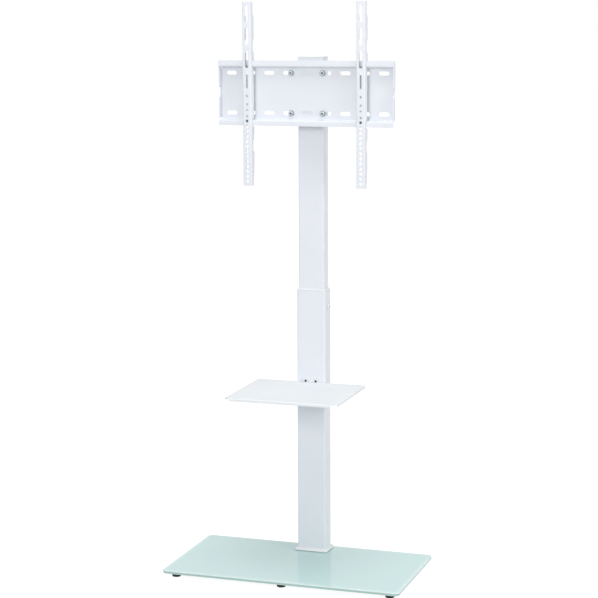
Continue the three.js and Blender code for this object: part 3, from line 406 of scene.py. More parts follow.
def add_piece(name, mesh, finish, body, slot, *nodes):
    """Puts a finished mesh in the scene, riding on its body in place of CAD nodes."""
    mesh.materials.clear()
    mesh.materials.append(finish)
    mesh.polygons.foreach_set("use_smooth", [True] * len(mesh.polygons))
    mesh.polygons.foreach_set("material_index", [0] * len(mesh.polygons))
    mesh.set_sharp_from_angle(angle=math.radians(28))
    mesh.name = name
    piece = placed(name, mesh)
    piece.modifiers.new("flat_faces", "WEIGHTED_NORMAL").keep_sharp = True
    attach(piece, body)
    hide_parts(*nodes)


def add_layer(name, node, finish, slot, corner, bore, rim, steps=ARC_STEPS, rim_steps=RIM_STEPS):
    """A flat rounded plate with the bores of the four base bolts, in the place of its node."""
    width, depth, thickness = size(node)
    outline = rounded_rectangle(width, depth, corner, steps)
    rows = bores(four("base_bolt"), bore, middle(node))
    mesh = blank(outline, rows, thickness, finish, rim, rim_steps)
    add_piece(name, moved(mesh, middle(node)), finish, "stand", slot, node)


def close_material(nodes, inputs):
    shader = nodes.node("ShaderNodeBsdfPrincipled", inputs)
    nodes.node("ShaderNodeOutputMaterial", {"Surface": shader})


enamelled_glass, nodes = started_material("enamelled_glass")
cloud = nodes.noise(scale=5.0, detail=2.0)
low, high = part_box("base_glass")
depth_share = (nodes.along("Z") - low.z) / (high.z - low.z)
# Painted highlight: the upper arris of the rim is coloured pale, over the glass's own green edge.
rim_light_and_shade_share = nodes.node("ShaderNodeValToRGB", {"Fac": depth_share}, stops=GLASS_RIM_STOPS_WITH_HIGHLIGHT)
rim_colour_with_highlight = nodes.blend(rim_light_and_shade_share, (0.335, 0.520, 0.480, 1.0), (0.760, 0.900, 0.880, 1.0))
face_colour = nodes.blend(cloud, (0.610, 0.815, 0.795, 1.0), (0.565, 0.785, 0.768, 1.0))
# Painted highlight: the top face is coloured lighter in a band along its rims.
inside = (high.x - nodes.along("X").absolute()).least(high.y - nodes.along("Y").absolute())
edge_highlight_share = 1.0 - nodes.share(inside, low=0.0036, high=0.012)
face_colour = nodes.blend(edge_highlight_share, face_colour, (0.690, 0.860, 0.845, 1.0))
facing = nodes.node("ShaderNodeNewGeometry", output="Normal")
face_share = nodes.share(nodes.along("Z", facing).absolute(), low=0.35, high=0.9)
close_material(nodes, {
    "Base Color": nodes.blend(face_share, rim_colour_with_highlight, face_colour),
    "Roughness": 0.02 + 0.02 * cloud,
    "IOR": 1.44,
})
add_layer(
    "base_glass_slab", "base_glass", enamelled_glass, "glass", corner=0.012, bore=GLASS_BORE,
    rim=0.0011, steps=ARC_STEPS * 2, rim_steps=4,
)


# Feet: moulded rubber pads stuck under the glass, each with a soft rounded tread, a groove
# round its side and a dished middle. The one under the clamp is thinner.
FEET = {
    "glass_feet": [
        "foot_front_left", "foot_front_middle", "foot_front_right", "foot_rear_left",
        "foot_rear_right",
    ],
    "clamp_foot": ["foot_rear_middle"],
}
# Profile of a foot, as shares of its radius and of its height, from the middle of the tread
FOOT_SHARES = [
    (0.42, 0.16), (0.50, 0.13), (0.56, 0.03), (0.62, 0.0), (0.84, 0.0), (0.92, 0.03),
    (0.97, 0.10), (0.99, 0.22), (1.0, 0.48), (0.985, 0.53), (0.955, 0.57), (0.955, 0.66),
    (0.985, 0.70), (1.0, 0.75), (1.0, 0.93), (0.985, 0.98), (0.95, 1.0),
]
FINE_TURN_STEPS = 40
MERGE = 0.000001


def display(red, green, blue):
    """A colour written as its 0 to 255 values on a screen."""
    linear = [((value / 255 + 0.055) / 1.055) ** 2.4 for value in (red, green, blue)]
    return (*linear, 1.0)


def skin(rings, closed=False):
    """A mesh over rings of as many points each. A closed one joins its last ring to its first."""
    count = len(rings[0])
    points = [point for ring in rings for point in ring]
    faces = []
    for lower in range(len(rings) if closed else len(rings) - 1):
        start = lower * count
        end = (lower + 1) % len(rings) * count
        for i in range(count):
            j = (i + 1) % count
            faces.append((start + i, start + j, end + j, end + i))
    if not closed:
        faces.append(tuple(reversed(range(count))))
        faces.append(tuple(range(len(points) - count, len(points))))
    mesh = bpy.data.meshes.new("skin")
    mesh.from_pydata(points, [], faces)
    work = bmesh.new()
    work.from_mesh(mesh)
    bmesh.ops.remove_doubles(work, verts=work.verts, dist=MERGE)
    bmesh.ops.recalc_face_normals(work, faces=work.faces)
    work.to_mesh(mesh)
    work.free()
    return mesh


def lathed(turns, steps, corners=(), closed=False):
    """A skin over rings of (reach, height). Each may be a rule that gives it by angle."""
    angles = sorted([step * math.tau / steps for step in range(steps)] + list(corners))
    rings = []
    for reach, height in turns:
        ring = []
        for angle in angles:
            out = reach(angle) if callable(reach) else reach
            up = height(angle) if callable(height) else height
            ring.append((out * math.cos(angle), out * math.sin(angle), up))
        rings.append(ring)
    return skin(rings, closed)


# Hand that sets one part on each of several places, each turned at random about its axis
setter, given = new_tree(
    "set_parts", {"Part": "NodeSocketObject", "Finish": FINISH, "Axis": VECTOR, "Seed": WHOLE},
)
part = setter.node("GeometryNodeObjectInfo", {"Object": given["Part"]}, "Geometry")
turn = {2: 0.0, 3: math.tau, "Seed": given["Seed"]}
turn = setter.node("FunctionNodeRandomValue", turn, 1, data_type="FLOAT")
turn = setter.node("ShaderNodeVectorMath", {0: given["Axis"], "Scale": turn}, operation="SCALE")
parts = {"Points": given["Geometry"], "Instance": part, "Rotation": turn}
close_tree(setter, setter.node("GeometryNodeInstanceOnPoints", parts), given["Finish"])


def add_set(name, part_mesh, place_of, finish, body, slot, nodes, axis=(0.0, 0.0, 1.0), seed=1):
    """One piece with a copy of the part for each node, placed by a rule such as middle."""
    part = placed(f"{name}_part", part_mesh)
    points = bpy.data.meshes.new(name)
    points.from_pydata([tuple(place_of(node)) for node in nodes], [], [])
    holder = placed(name, points)
    run_tree(holder, setter, {"Part": part, "Finish": finish, "Axis": axis, "Seed": seed})
    mesh = evaluated_mesh(holder)
    bpy.data.objects.remove(part)
    add_piece(name, mesh, finish, body, slot, *nodes)


def resting_place(node):
    place = middle(node)
    return Vector((place.x, place.y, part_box(node)[0].z))


def clouded(name, dark, light, cloud, grain, relief, rough, spread=0.0, metallic=0.0):
    """A finish that clouds between two screen colours, with a fine grain in relief."""
    finish, nodes = started_material(name)
    haze = nodes.noise(*cloud)
    close_material(nodes, {
        "Base Color": nodes.blend(haze, display(*dark), display(*light)),
        "Metallic": metallic,
        "Roughness": rough + spread * haze if spread else rough,
        "Normal": nodes.relief(nodes.noise(*grain), *relief),
    })
    return finish


black_rubber = clouded(
    "black_rubber", (13, 14, 15), (26, 27, 28), cloud=(90.0, 4.0), grain=(2600.0, 2.0),
    relief=(0.35, 0.0001), rough=0.66, spread=0.2,
)

for name, foot_nodes in FEET.items():
    width, _, height = size(foot_nodes[0])
    foot = lathed([(width / 2 * out, height * up) for out, up in FOOT_SHARES], FINE_TURN_STEPS)
    add_set(name, foot, resting_place, black_rubber, "stand", "black_rubber", foot_nodes)


# Clamp and gaskets: a galvanised steel plate under the glass, and soft grey rubber sheets
# that keep it and the plate of the column off the glass. The four bolts go through them all.
zinc_plate, nodes = started_material("zinc_plate")
spots = {"Vector": nodes.coords(), "Scale": 420.0}
spangle = nodes.node("ShaderNodeTexVoronoi", spots, "Distance")
haze = nodes.noise(scale=160.0, detail=3.0)
scratch = nodes.noise(scale=3200.0, detail=1.0)
cloud = haze * 0.6 + spangle * 0.4
close_material(nodes, {
    "Base Color": nodes.blend(cloud, display(150, 168, 176), display(196, 206, 210)),
    "Metallic": 0.85,
    "Roughness": 0.26 + 0.22 * haze,
    "Normal": nodes.relief(scratch, strength=0.12, distance=0.00005),
})

grey_rubber = clouded(
    "grey_rubber", (186, 192, 194), (202, 207, 209), cloud=(120.0, 3.0), grain=(2400.0, 2.0),
    relief=(0.3, 0.0001), rough=0.75,
)

add_layer(
    "clamp_sheet", "clamp_plate", zinc_plate, "zinc", corner=0.006, bore=0.0086, rim=0.0004,
)
for name, node, corner in (
    ("clamp_gasket", "lower_gasket", 0.006), ("foot_gasket", "upper_gasket", 0.004),
):
    add_layer(name, node, grey_rubber, "grey_rubber", corner, GLASS_BORE, rim=0.0002)


# Base bolts: zinc-plated steel, with a low head and a hexagon socket. They pass up through
# the clamp, the glass and the foot plate, and hexagon nuts inside the column hold them.
TURN_STEPS = 36
# Profiles of heads from the top down: shares of the head's width and of its height
BASE_HEAD_SHARES = [
    (0.38, 1.0), (0.43, 0.92), (0.475, 0.72), (0.495, 0.45), (0.5, 0.2), (0.5, 0.0),
]
# Of a recess: shares of its width at its floor and mouth, and the height of its lead-in
RECESS_FLOOR_SHARE = 0.93
RECESS_MOUTH_SHARE = 1.06
RECESS_LEAD = 0.0003
# Of a thread: shares of its radius in its roots, behind its tip and at it, the turns left
# off before its end, and the length of its tip in turns
THREAD_ROOT_SHARE = 0.9
THREAD_NECK_SHARE = 0.97
THREAD_TIP_SHARE = 0.78
THREAD_LEFT_OFF = 1.5
THREAD_TIP_TURNS = 0.9
# Of a nut: shares of its width where its faces end, of its bore as a lead-in, and its chamfer
NUT_FACE_SHARE = 0.485
NUT_LEAD_SHARE = 0.05
NUT_CHAMFER_SLOPE = math.tan(math.radians(32))


def turned(mesh, axis, angle=math.pi / 2):
    mesh.transform(Matrix.Rotation(angle, 4, axis))
    return mesh


def hexagon(flats):
    """The rule of a hexagon: its reach at an angle."""
    return lambda angle: flats / 2 / math.cos(angle % (math.pi / 3) - math.pi / 6)


def screw_mesh(overall, head, height, shares, recess, depth, shank, pitch, corners=()):
    """A screw along +Z with the top of its head at zero, and a recess that follows a rule."""
    turns = [
        (lambda angle: recess(angle) * RECESS_FLOOR_SHARE, -depth), (recess, -RECESS_LEAD),
        (lambda angle: recess(angle) * RECESS_MOUTH_SHARE, 0.0),
    ]
    turns += [(head * out, height * up - height) for out, up in shares]
    turns.append((shank / 2, -height))
    below = height + pitch
    while below < overall - pitch * THREAD_LEFT_OFF:
        turns.append((shank / 2, -below))
        turns.append((shank / 2 * THREAD_ROOT_SHARE, -below - pitch / 2))
        below += pitch
    turns.append((shank / 2 * THREAD_NECK_SHARE, pitch * THREAD_TIP_TURNS - overall))
    turns.append((shank / 2 * THREAD_TIP_SHARE, -overall))
    return lathed(turns, TURN_STEPS, corners)


def nut_mesh(flats, bore, height):
    """A hexagon nut centred on zero. Its corners are chamfered by a cone, as on a real one."""
    rim = flats * NUT_FACE_SHARE
    lead = bore * NUT_LEAD_SHARE
    side = hexagon(flats)
    turns = [
        (bore / 2, lead - height / 2),
        (bore / 2 + lead, -height / 2),
        (rim, -height / 2),
        (side, lambda angle: (side(angle) - rim) * NUT_CHAMFER_SLOPE - height / 2),
        (side, lambda angle: height / 2 - (side(angle) - rim) * NUT_CHAMFER_SLOPE),
        (rim, height / 2),
        (bore / 2 + lead, height / 2),
        (bore / 2, height / 2 - lead),
    ]
    return lathed(turns, TURN_STEPS, closed=True)


bright_zinc = clouded(
    "bright_zinc", (138, 151, 157), (172, 183, 188), cloud=(240.0, 3.0), grain=(4200.0, 2.0),
    relief=(0.15, 0.00004), rough=0.24, spread=0.2, metallic=0.8,
)

base_bolt = screw_mesh(
    size("base_bolt_1").z, head=0.014, height=0.004, shares=BASE_HEAD_SHARES,
    recess=hexagon(0.00476), depth=0.003, shank=0.008, pitch=0.00125,
)
turned(base_bolt, "X", math.pi)
add_set(
    "base_bolts", base_bolt, resting_place, bright_zinc, "stand", "zinc", four("base_bolt"),
    seed=3,
)
base_nut = nut_mesh(flats=0.013, bore=0.0086, height=size("base_nut_1").z)
add_set("base_nuts", base_nut, middle, bright_zinc, "stand", "zinc", four("base_nut"), seed=5)


# Foot plate: a 6 mm steel plate with a rounded upper edge, powder coated white. The column
# is welded on it all round, and the coat covers the ripples of the bead.
FOOT_CORNER = 0.004
FOOT_RIM = 0.0004
FOOT_BORE = 0.0086
TUBE_CORNER = 0.005
LEAST_CORNER = 0.0003
ROUND_STEPS = 5
BEAD_CUTS = 6


def box_ring(width, depth, corner, inset, height):
    """A ring of points round a rounded rectangle, drawn in by the inset."""
    corner = max(corner - inset, LEAST_CORNER)
    points = rounded_rectangle(width - inset * 2, depth - inset * 2, corner)
    return [(x, y, height) for x, y in points]


def block(node, turns, closed=False):
    """A block in its node's place: turns of (width, depth and corner), inset and height."""
    mesh = skin([box_ring(*outline, inset, up) for outline, inset, up in turns], closed)
    return moved(mesh, resting_place(node))


def rounded_edge(radius):
    """Steps round an upper edge, from the side to the top: how far in, and how far down."""
    angles = [step / ROUND_STEPS * math.pi / 2 for step in range(ROUND_STEPS + 1)]
    return [(radius * (1 - math.cos(angle)), radius * (1 - math.sin(angle))) for angle in angles]


def cut_away(mesh, cutter):
    """The mesh less the cutter. Both are used up."""
    body = placed("body", mesh)
    tool = placed("cutter", cutter)
    boolean = body.modifiers.new("cut", "BOOLEAN")
    boolean.operation = "DIFFERENCE"
    boolean.solver = "EXACT"
    boolean.object = tool
    cut = evaluated_mesh(body)
    bpy.data.objects.remove(tool)
    return cut


def drill(mesh, diameter, screw, axis, place, length):
    """Drills a bore for a screw along an axis, with its middle at that place on it."""
    centre = middle(screw)
    centre[axis] = place
    way = Vector((0.0, 0.0, 0.0))
    way[axis] = 1.0
    rod = lathed([(diameter / 2, end * length / 2) for end in (-1, 1)], TURN_STEPS)
    rod.transform(Vector((0.0, 0.0, 1.0)).rotation_difference(way).to_matrix().to_4x4())
    return cut_away(mesh, moved(rod, centre))


def powder_coat(name, dark, light):
    """A powder coat with its fine orange peel and a faint cloud from one colour to the other."""
    finish, nodes = started_material(name)
    cloud = nodes.noise(scale=11.0, detail=2.0)
    peel = nodes.noise(scale=820.0, detail=2.0)
    height = peel * 0.8 + nodes.noise(scale=3600.0, detail=1.0) * 0.2
    close_material(nodes, {
        "Base Color": nodes.blend(cloud, dark, light),
        "Roughness": 0.44 + 0.12 * peel,
        "Normal": nodes.relief(height, strength=0.16, distance=0.0001),
    })
    return finish


white_coat = powder_coat("white_powder_coat", display(229, 233, 240), display(235, 238, 243))
# Painted highlight: the foot plate gets a lighter copy of the white coat, for its brightly lit
# front.
highlit_foot_coat = powder_coat("foot_powder_coat_highlit", display(243, 246, 245), display(247, 249, 248))

width, depth, height = size("foot_plate")
outline = (width, depth, FOOT_CORNER)
turns = [(outline, FOOT_RIM, 0.0), (outline, 0.0, FOOT_RIM)]
turns += [(outline, inset, height - down) for inset, down in rounded_edge(radius=0.0036)]
foot = block("foot_plate", turns)
for bolt in four("base_bolt"):
    foot = drill(foot, FOOT_BORE, bolt, axis=2, place=middle("foot_plate").z, length=height * 3)
add_piece("foot_plate_shape", foot, highlit_foot_coat, "stand", "white_steel", "foot_plate")

# Welder: a bead of round section laid along a wire, its size rippling as it goes
welder, given = new_tree(
    "weld_bead", {"Size": FLOAT, "Pitch": FLOAT, "Ripple": FLOAT, "Finish": FINISH},
)
seam = welder.node("GeometryNodeMeshToCurve", {"Mesh": given["Geometry"]})
seam = {"Curve": seam, "Length": given["Pitch"] / BEAD_CUTS}
seam = welder.node("GeometryNodeResampleCurve", seam, mode="LENGTH")
along = welder.node("GeometryNodeSplineParameter", output="Length")
ripple = (along * math.tau / given["Pitch"]).sine() * given["Ripple"] + 1.0
section = {"Resolution": 10, "Radius": given["Size"]}
section = welder.node("GeometryNodeCurvePrimitiveCircle", section)
bead = {"Curve": seam, "Profile Curve": section, "Scale": ripple}
close_tree(welder, welder.node("GeometryNodeCurveToMesh", bead), given["Finish"])

width, depth, _ = size("outer_tube")
seam = wire_mesh(rounded_rectangle(width, depth, TUBE_CORNER))
holder = placed("foot_weld", moved(seam, resting_place("outer_tube")))
bead = {"Size": 0.0013, "Pitch": 0.0021, "Ripple": 0.1, "Finish": white_coat}
run_tree(holder, welder, bead)
add_piece("foot_weld", evaluated_mesh(holder), white_coat, "stand", "white_steel")


# Outer tube: rectangular steel tube of 2 mm wall, powder coated white, its sawn ends
# deburred. It is drilled for the height lock and for the bolts of the shelf.
TUBE_WALL = 0.002
TUBE_RIM = 0.0004
LOCK_BORE = 0.0086
SHELF_BOLT_BORE = 0.0046
UPPER_BOLTS = ["shelf_bolt_upper_left", "shelf_bolt_upper_right"]
LOWER_BOLTS = ["shelf_bolt_lower_left", "shelf_bolt_lower_right"]


def tube_mesh(node, corner):
    """A rectangular tube in the place of its node, each end slightly rounded inside and out."""
    width, depth, height = size(node)
    turns = [
        (TUBE_RIM, 0.0), (0.0, TUBE_RIM), (0.0, height - TUBE_RIM), (TUBE_RIM, height),
        (TUBE_WALL - TUBE_RIM, height), (TUBE_WALL, height - TUBE_RIM), (TUBE_WALL, TUBE_RIM),
        (TUBE_WALL - TUBE_RIM, 0.0),
    ]
    return block(node, [((width, depth, corner), inset, up) for inset, up in turns], closed=True)


low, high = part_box("outer_tube")
outer = tube_mesh("outer_tube", TUBE_CORNER)
outer = drill(outer, LOCK_BORE, "height_lock_screw", axis=0, place=high.x, length=0.02)
for bolt in UPPER_BOLTS + LOWER_BOLTS:
    outer = drill(outer, SHELF_BOLT_BORE, bolt, axis=1, place=low.y, length=0.012)
add_piece("outer_tube_shape", outer, white_coat, "stand", "white_steel", "outer_tube")


# Guide bush: a moulded plastic sleeve pressed in the mouth of the outer tube. Its rim covers
# the sawn end, and the inner tube runs in its bore.
BUSH_BORE = (0.0666, 0.0396, 0.0045)
BUSH_RIM = (0.0728, 0.0458, 0.005)
BUSH_SKIRT = (0.0694, 0.0424, 0.003)
BUSH_RIM_HEIGHT = 0.003
BUSH_EDGE = 0.0006
BUSH_LEAD = 0.0004

white_plastic, nodes = started_material("white_plastic")
cloud = nodes.noise(scale=24.0, detail=2.0)
grain = nodes.noise(scale=2800.0, detail=2.0)
close_material(nodes, {
    "Base Color": nodes.blend(cloud, display(238, 241, 241), display(243, 245, 244)),
    "Roughness": 0.34 + 0.1 * grain,
    "Normal": nodes.relief(grain, strength=0.2, distance=0.00006),
})

height = size("guide_bush").z
under = height - BUSH_RIM_HEIGHT
rim_edge = reversed(rounded_edge(radius=0.0018))
bush = block("guide_bush", [
    (BUSH_BORE, -BUSH_LEAD, 0.0), (BUSH_BORE, 0.0, BUSH_LEAD),
    (BUSH_BORE, 0.0, height - BUSH_LEAD), (BUSH_BORE, -BUSH_LEAD, height),
    *[(BUSH_RIM, inset, height - down) for inset, down in rim_edge],
    (BUSH_RIM, 0.0, under + BUSH_LEAD), (BUSH_RIM, BUSH_LEAD, under), (BUSH_SKIRT, 0.0, under),
    (BUSH_SKIRT, 0.0, BUSH_EDGE), (BUSH_SKIRT, BUSH_EDGE, 0.0),
], closed=True)
bush = drill(bush, LOCK_BORE, "height_lock_screw", 0, place=BUSH_SKIRT[0] / 2, length=0.01)
add_piece("mouth_bush", bush, white_plastic, "stand", "white_plastic", "guide_bush")


# Inner tube: the upper stage of the column, in the same white coat. A long slot in its right
# side takes the height lock. A plastic glide on its foot keeps it centred.
INNER_CORNER = 0.0045
LOCK_SLOT = 0.0092
HEIGHT_TRAVEL = 0.15

lock = middle("height_lock_screw")
run = (HEIGHT_TRAVEL + LOCK_SLOT, LOCK_SLOT, LOCK_SLOT / 2 * FULL_ROUND_SHARE)
slot = turned(skin([box_ring(*run, 0.0, end * TUBE_WALL * 2) for end in (-1, 1)]), "Y")
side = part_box("inner_tube")[1].x
moved(slot, (side, lock.y, lock.z - HEIGHT_TRAVEL / 2))
inner = cut_away(tube_mesh("inner_tube", INNER_CORNER), slot)
add_piece("inner_tube_shape", inner, white_coat, "column_head", "white_steel", "inner_tube")


def finish_node(node, finish):
    """Gives a CAD node that keeps its own shape a procedural finish."""
    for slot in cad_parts[node].material_slots:
        slot.material = finish


finish_node("lower_glide", white_plastic)


# Top cap: a moulded plastic plug with a rounded, slightly domed lid, pushed into the head of
# the column. Its skirt keeps it in the bore of the inner tube.
CAP_LID_HEIGHT = 0.0035
CAP_CROWN = 0.00025
CAP_SKIRT = (0.0614, 0.0344, 0.0025)
CAP_WALL = 0.0018
CAP_EDGE = 0.0004
# Dome of the lid: how far in from its side, and the share of the crown still to rise there
CAP_DOME = [(0.0105, 0.25), (0.0165, 0.0)]

width, depth, height = size("top_cap")
lid = (width, depth, INNER_CORNER)
under = height - CAP_LID_HEIGHT
lid_edge = rounded_edge(radius=0.0016)
cap = block("top_cap", [
    (CAP_SKIRT, CAP_WALL, under), (CAP_SKIRT, CAP_WALL, 0.0), (CAP_SKIRT, 0.0, 0.0),
    (CAP_SKIRT, 0.0, under), (lid, CAP_EDGE, under), (lid, 0.0, under + CAP_EDGE),
    *[(lid, inset, height - CAP_CROWN - down) for inset, down in lid_edge],
    *[(lid, inset, height - CAP_CROWN * share) for inset, share in CAP_DOME],
])
add_piece("column_cap", cap, white_plastic, "column_head", "white_plastic", "top_cap")


# Height lock: a low button-head screw, coated white, that clamps the two tubes against a
# square nut inside them. It sits on the right side below the joint.
LOCK_HEAD_SHARES = [
    (0.28, 1.0), (0.36, 0.93), (0.42, 0.76), (0.465, 0.5), (0.5, 0.24), (0.5, 0.05), (0.49, 0.0),
]
LOCK_SOCKET = 0.00476


def off_axis(nodes, spot, centre, counted):
    """How far a spot is from the axis through a centre, along the counted directions."""
    spot = nodes.node("ShaderNodeVectorMath", {0: spot, 1: centre}, operation="SUBTRACT")
    spot = nodes.node("ShaderNodeVectorMath", {0: spot, 1: counted}, operation="MULTIPLY")
    return nodes.node("ShaderNodeVectorMath", {0: spot}, 1, operation="LENGTH")


lock_coat, nodes = started_material("lock_coat")
# Painted shade: the hexagon socket and its mouth are coloured dark grey, for the shade in the
# recess.
reach = off_axis(nodes, nodes.coords(), (0.0, lock.y, lock.z), (0.0, 1.0, 1.0))
unshaded_head_share = nodes.share(reach, low=LOCK_SOCKET * 0.5, high=LOCK_SOCKET * 0.62)
peel = nodes.noise(scale=820.0, detail=2.0)
close_material(nodes, {
    "Base Color": nodes.blend(unshaded_head_share, display(96, 100, 106), display(232, 236, 242)),
    "Roughness": 0.36 + 0.12 * peel,
    "Normal": nodes.relief(peel, strength=0.16, distance=0.0001),
})

length, _, head = size("height_lock_screw")
button = screw_mesh(
    length, head, height=0.0044, shares=LOCK_HEAD_SHARES, recess=hexagon(LOCK_SOCKET),
    depth=0.003, shank=0.008, pitch=0.00125,
)
moved(turned(button, "Y"), (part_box("height_lock_screw")[1].x, lock.y, lock.z))
add_piece(
    "height_lock_button", button, lock_coat, "height_lock", "white_steel", "height_lock_screw",
)
finish_node("height_lock_nut", bright_zinc)


# Shelf bracket: 2.5 mm sheet cut to an outline and folded, with a tab that shows above the
# shelf and two tapered wings under it. It is bolted to the front of the outer tube.
BEND_CUTS = 8
BRACKET_SHEET = 0.0025
BRACKET_TAB = 0.008
# Right edge of the blank from below up: across from the middle, up from the shelf, corner
BRACKET_EDGE = [
    (0.0460, -0.0475, 0.004), (0.1911, -0.0138, 0.003), (0.1911, -0.0018, 0.003),
    (0.0252, -0.0018, 0.0012), (0.0220, -0.0018, 0.0), (0.0220, BRACKET_TAB, 0.0045),
]


def rounded_outline(edge, steps=4):
    """A closed outline from the corners (x, y, radius) of its right edge, and their mirror."""
    corners = edge + [(-x, y, radius) for x, y, radius in reversed(edge)]
    points = []
    for index, (x, y, radius) in enumerate(corners):
        corner = Vector((x, y))
        before = (Vector(corners[index - 1][:2]) - corner).normalized()
        after = (Vector(corners[(index + 1) % len(corners)][:2]) - corner).normalized()
        half = math.acos(max(-1.0, min(1.0, before.dot(after)))) / 2
        centre = corner + (before + after).normalized() * radius / math.sin(half)
        start = corner + before * radius / math.tan(half) - centre
        end = corner + after * radius / math.tan(half) - centre
        sweep = math.atan2(start.cross(end), start.dot(end))
        for step in range(steps + 1 if radius else 1):
            points.append(tuple(centre + Matrix.Rotation(sweep * step / steps, 2) @ start))
    return points


def fold(mesh, across, line, turn, radius, bent=lambda place: True):
    """Bends a sheet beyond a line, as a brake press does, where the rule says so."""
    side = math.copysign(1.0, line)
    way = math.copysign(1.0, turn)
    run = radius * abs(turn)
    press = bmesh.new()
    press.from_mesh(mesh)
    bmesh.ops.triangulate(press, faces=press.faces[:])
    normal = Vector((0.0, 0.0, 0.0))
    normal[across] = 1.0
    for cut in range(BEND_CUTS + 1):
        place = normal * side * (abs(line) + run * cut / BEND_CUTS)
        everything = press.verts[:] + press.edges[:] + press.faces[:]
        bmesh.ops.bisect_plane(
            press, geom=everything, dist=MERGE, plane_co=place, plane_no=normal,
        )
    bmesh.ops.dissolve_degenerate(press, dist=SHEET_MERGE, edges=press.edges[:])
    for vert in press.verts:
        reach = side * vert.co[across] - abs(line)
        if reach > 0.0 and bent(vert.co):
            angle = min(reach, run) / radius
            rest = max(reach - run, 0.0)
            lift = vert.co.z - way * radius
            out = rest * math.cos(angle) - lift * way * math.sin(angle)
            vert.co.z = way * radius + rest * way * math.sin(angle) + lift * math.cos(angle)
            vert.co[across] = side * (abs(line) + out)
    press.to_mesh(mesh)
    press.free()


def fold_sides(mesh, across, line, turn, radius, bent=lambda place: True, sides=(1, -1)):
    """Folds both sides of a sheet alike."""
    for side in sides:
        fold(mesh, across, side * line, turn, radius, bent)


low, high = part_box("shelf_bracket")
shelf_top = high.z - BRACKET_TAB
rows = bores(UPPER_BOLTS + LOWER_BOLTS, SHELF_BOLT_BORE, (0.0, 0.0, shelf_top), up=2)
bracket = blank(rounded_outline(BRACKET_EDGE), rows, BRACKET_SHEET, white_coat)
fold_sides(bracket, 0, line=0.0205, turn=math.pi / 2, radius=0.00325)
moved(turned(bracket, "X"), (0.0, high.y - BRACKET_SHEET / 2, shelf_top))
add_piece("shelf_bracket_shape", bracket, white_coat, "stand", "white_steel", "shelf_bracket")


# Shelf: one 1.5 mm sheet with its front and side rims folded down, round open corners and a
# folded tongue behind, which the two lower bolts clamp to the bracket.
SHELF_SHEET = 0.0015
SHELF_MIDDLE_RADIUS = 0.00225
SHELF_SIDE_BEND = 0.1385
SHELF_FRONT_BEND = 0.242
SHELF_SIDE = 0.1415
SHELF_FRONT = 0.245
OPEN_CORNER = 0.0145
RIM_RUN = 0.00773
TONGUE_BEND = 0.0058
TONGUE_HALF = 0.02
TONGUE_BORE_PLACE = 0.01873
TONGUE_BORE_SIDE = 0.013
SLIT = 0.001
RIM_SIDE = SHELF_FRONT - OPEN_CORNER
RIM_FRONT = SHELF_SIDE - OPEN_CORNER
# Right edge of the blank from the front back: across from the middle, back from the tongue's
# foot, corner
SHELF_EDGE = [
    (RIM_FRONT, -SHELF_FRONT_BEND - RIM_RUN, 0.001), (RIM_FRONT, -SHELF_FRONT_BEND, 0.0),
    (RIM_FRONT + SLIT, -SHELF_FRONT_BEND, 0.0), (RIM_FRONT + SLIT, -SHELF_FRONT, 0.0),
    (SHELF_SIDE, -SHELF_FRONT, 0.0134), (SHELF_SIDE, -RIM_SIDE - SLIT, 0.0),
    (SHELF_SIDE_BEND, -RIM_SIDE - SLIT, 0.0), (SHELF_SIDE_BEND, -RIM_SIDE, 0.0),
    (SHELF_SIDE_BEND + RIM_RUN, -RIM_SIDE, 0.001), (SHELF_SIDE_BEND + RIM_RUN, 0.0, 0.001),
    (0.0256, 0.0, 0.001), (0.0256, -0.0028, 0.0), (TONGUE_HALF + SLIT, -0.0028, 0.0),
    (TONGUE_HALF + SLIT, -TONGUE_BEND, 0.0), (TONGUE_HALF, -TONGUE_BEND, 0.0),
    (TONGUE_HALF, 0.02873, 0.004),
]


def in_tongue(place):
    return abs(place.x) < TONGUE_HALF + SLIT / 2


def in_side_rims(place):
    return place.y > -RIM_SIDE - SLIT / 2


def in_front_rim(place):
    return abs(place.x) < RIM_FRONT + SLIT / 2


# Painted light: the shelf gets a lighter copy of the white coat, for its top lit from above.
lit_shelf_coat = powder_coat("shelf_powder_coat_painted_light", display(233, 238, 241), display(238, 242, 244))

places = [(side * TONGUE_BORE_SIDE, TONGUE_BORE_PLACE, 0.0) for side in (-1, 1)]
rows = [round_row(SHELF_BOLT_BORE, place) for place in places]
outline = rounded_outline(SHELF_EDGE, steps=8)
shelf = blank(outline, rows, SHELF_SHEET, lit_shelf_coat)
down = -math.pi / 2
shift = Vector((0.0, TONGUE_BEND * 2, 0.0))
moved(shelf, shift)
fold(shelf, 1, TONGUE_BEND, down, SHELF_MIDDLE_RADIUS, in_tongue)
moved(shelf, -shift)
fold_sides(shelf, 0, SHELF_SIDE_BEND, down, SHELF_MIDDLE_RADIUS, in_side_rims)
fold(shelf, 1, -SHELF_FRONT_BEND, down, SHELF_MIDDLE_RADIUS, in_front_rim)
low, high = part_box("shelf")
moved(shelf, (0.0, high.y, high.z - SHELF_SHEET / 2))
add_piece("shelf_shape", shelf, lit_shelf_coat, "stand", "white_steel", "shelf")


# Shelf bolts: small black-oxide button heads, two above the shelf through the tab and two
# below it through the tongue.
BLACK_HEAD_SHARES = [
    (0.3, 1.0), (0.39, 0.9), (0.46, 0.66), (0.5, 0.3), (0.5, 0.08), (0.48, 0.0),
]
FRONT_TO_BACK = (0.0, 1.0, 0.0)

black_oxide = clouded(
    "black_oxide", (38, 39, 41), (58, 59, 62), cloud=(600.0, 3.0), grain=(5000.0, 2.0),
    relief=(0.15, 0.00004), rough=0.36, spread=0.2, metallic=0.55,
)


def front_place(node):
    """The middle of the front of a node, where the head of a screw driven from there ends."""
    place = middle(node)
    return Vector((place.x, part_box(node)[0].y, place.z))


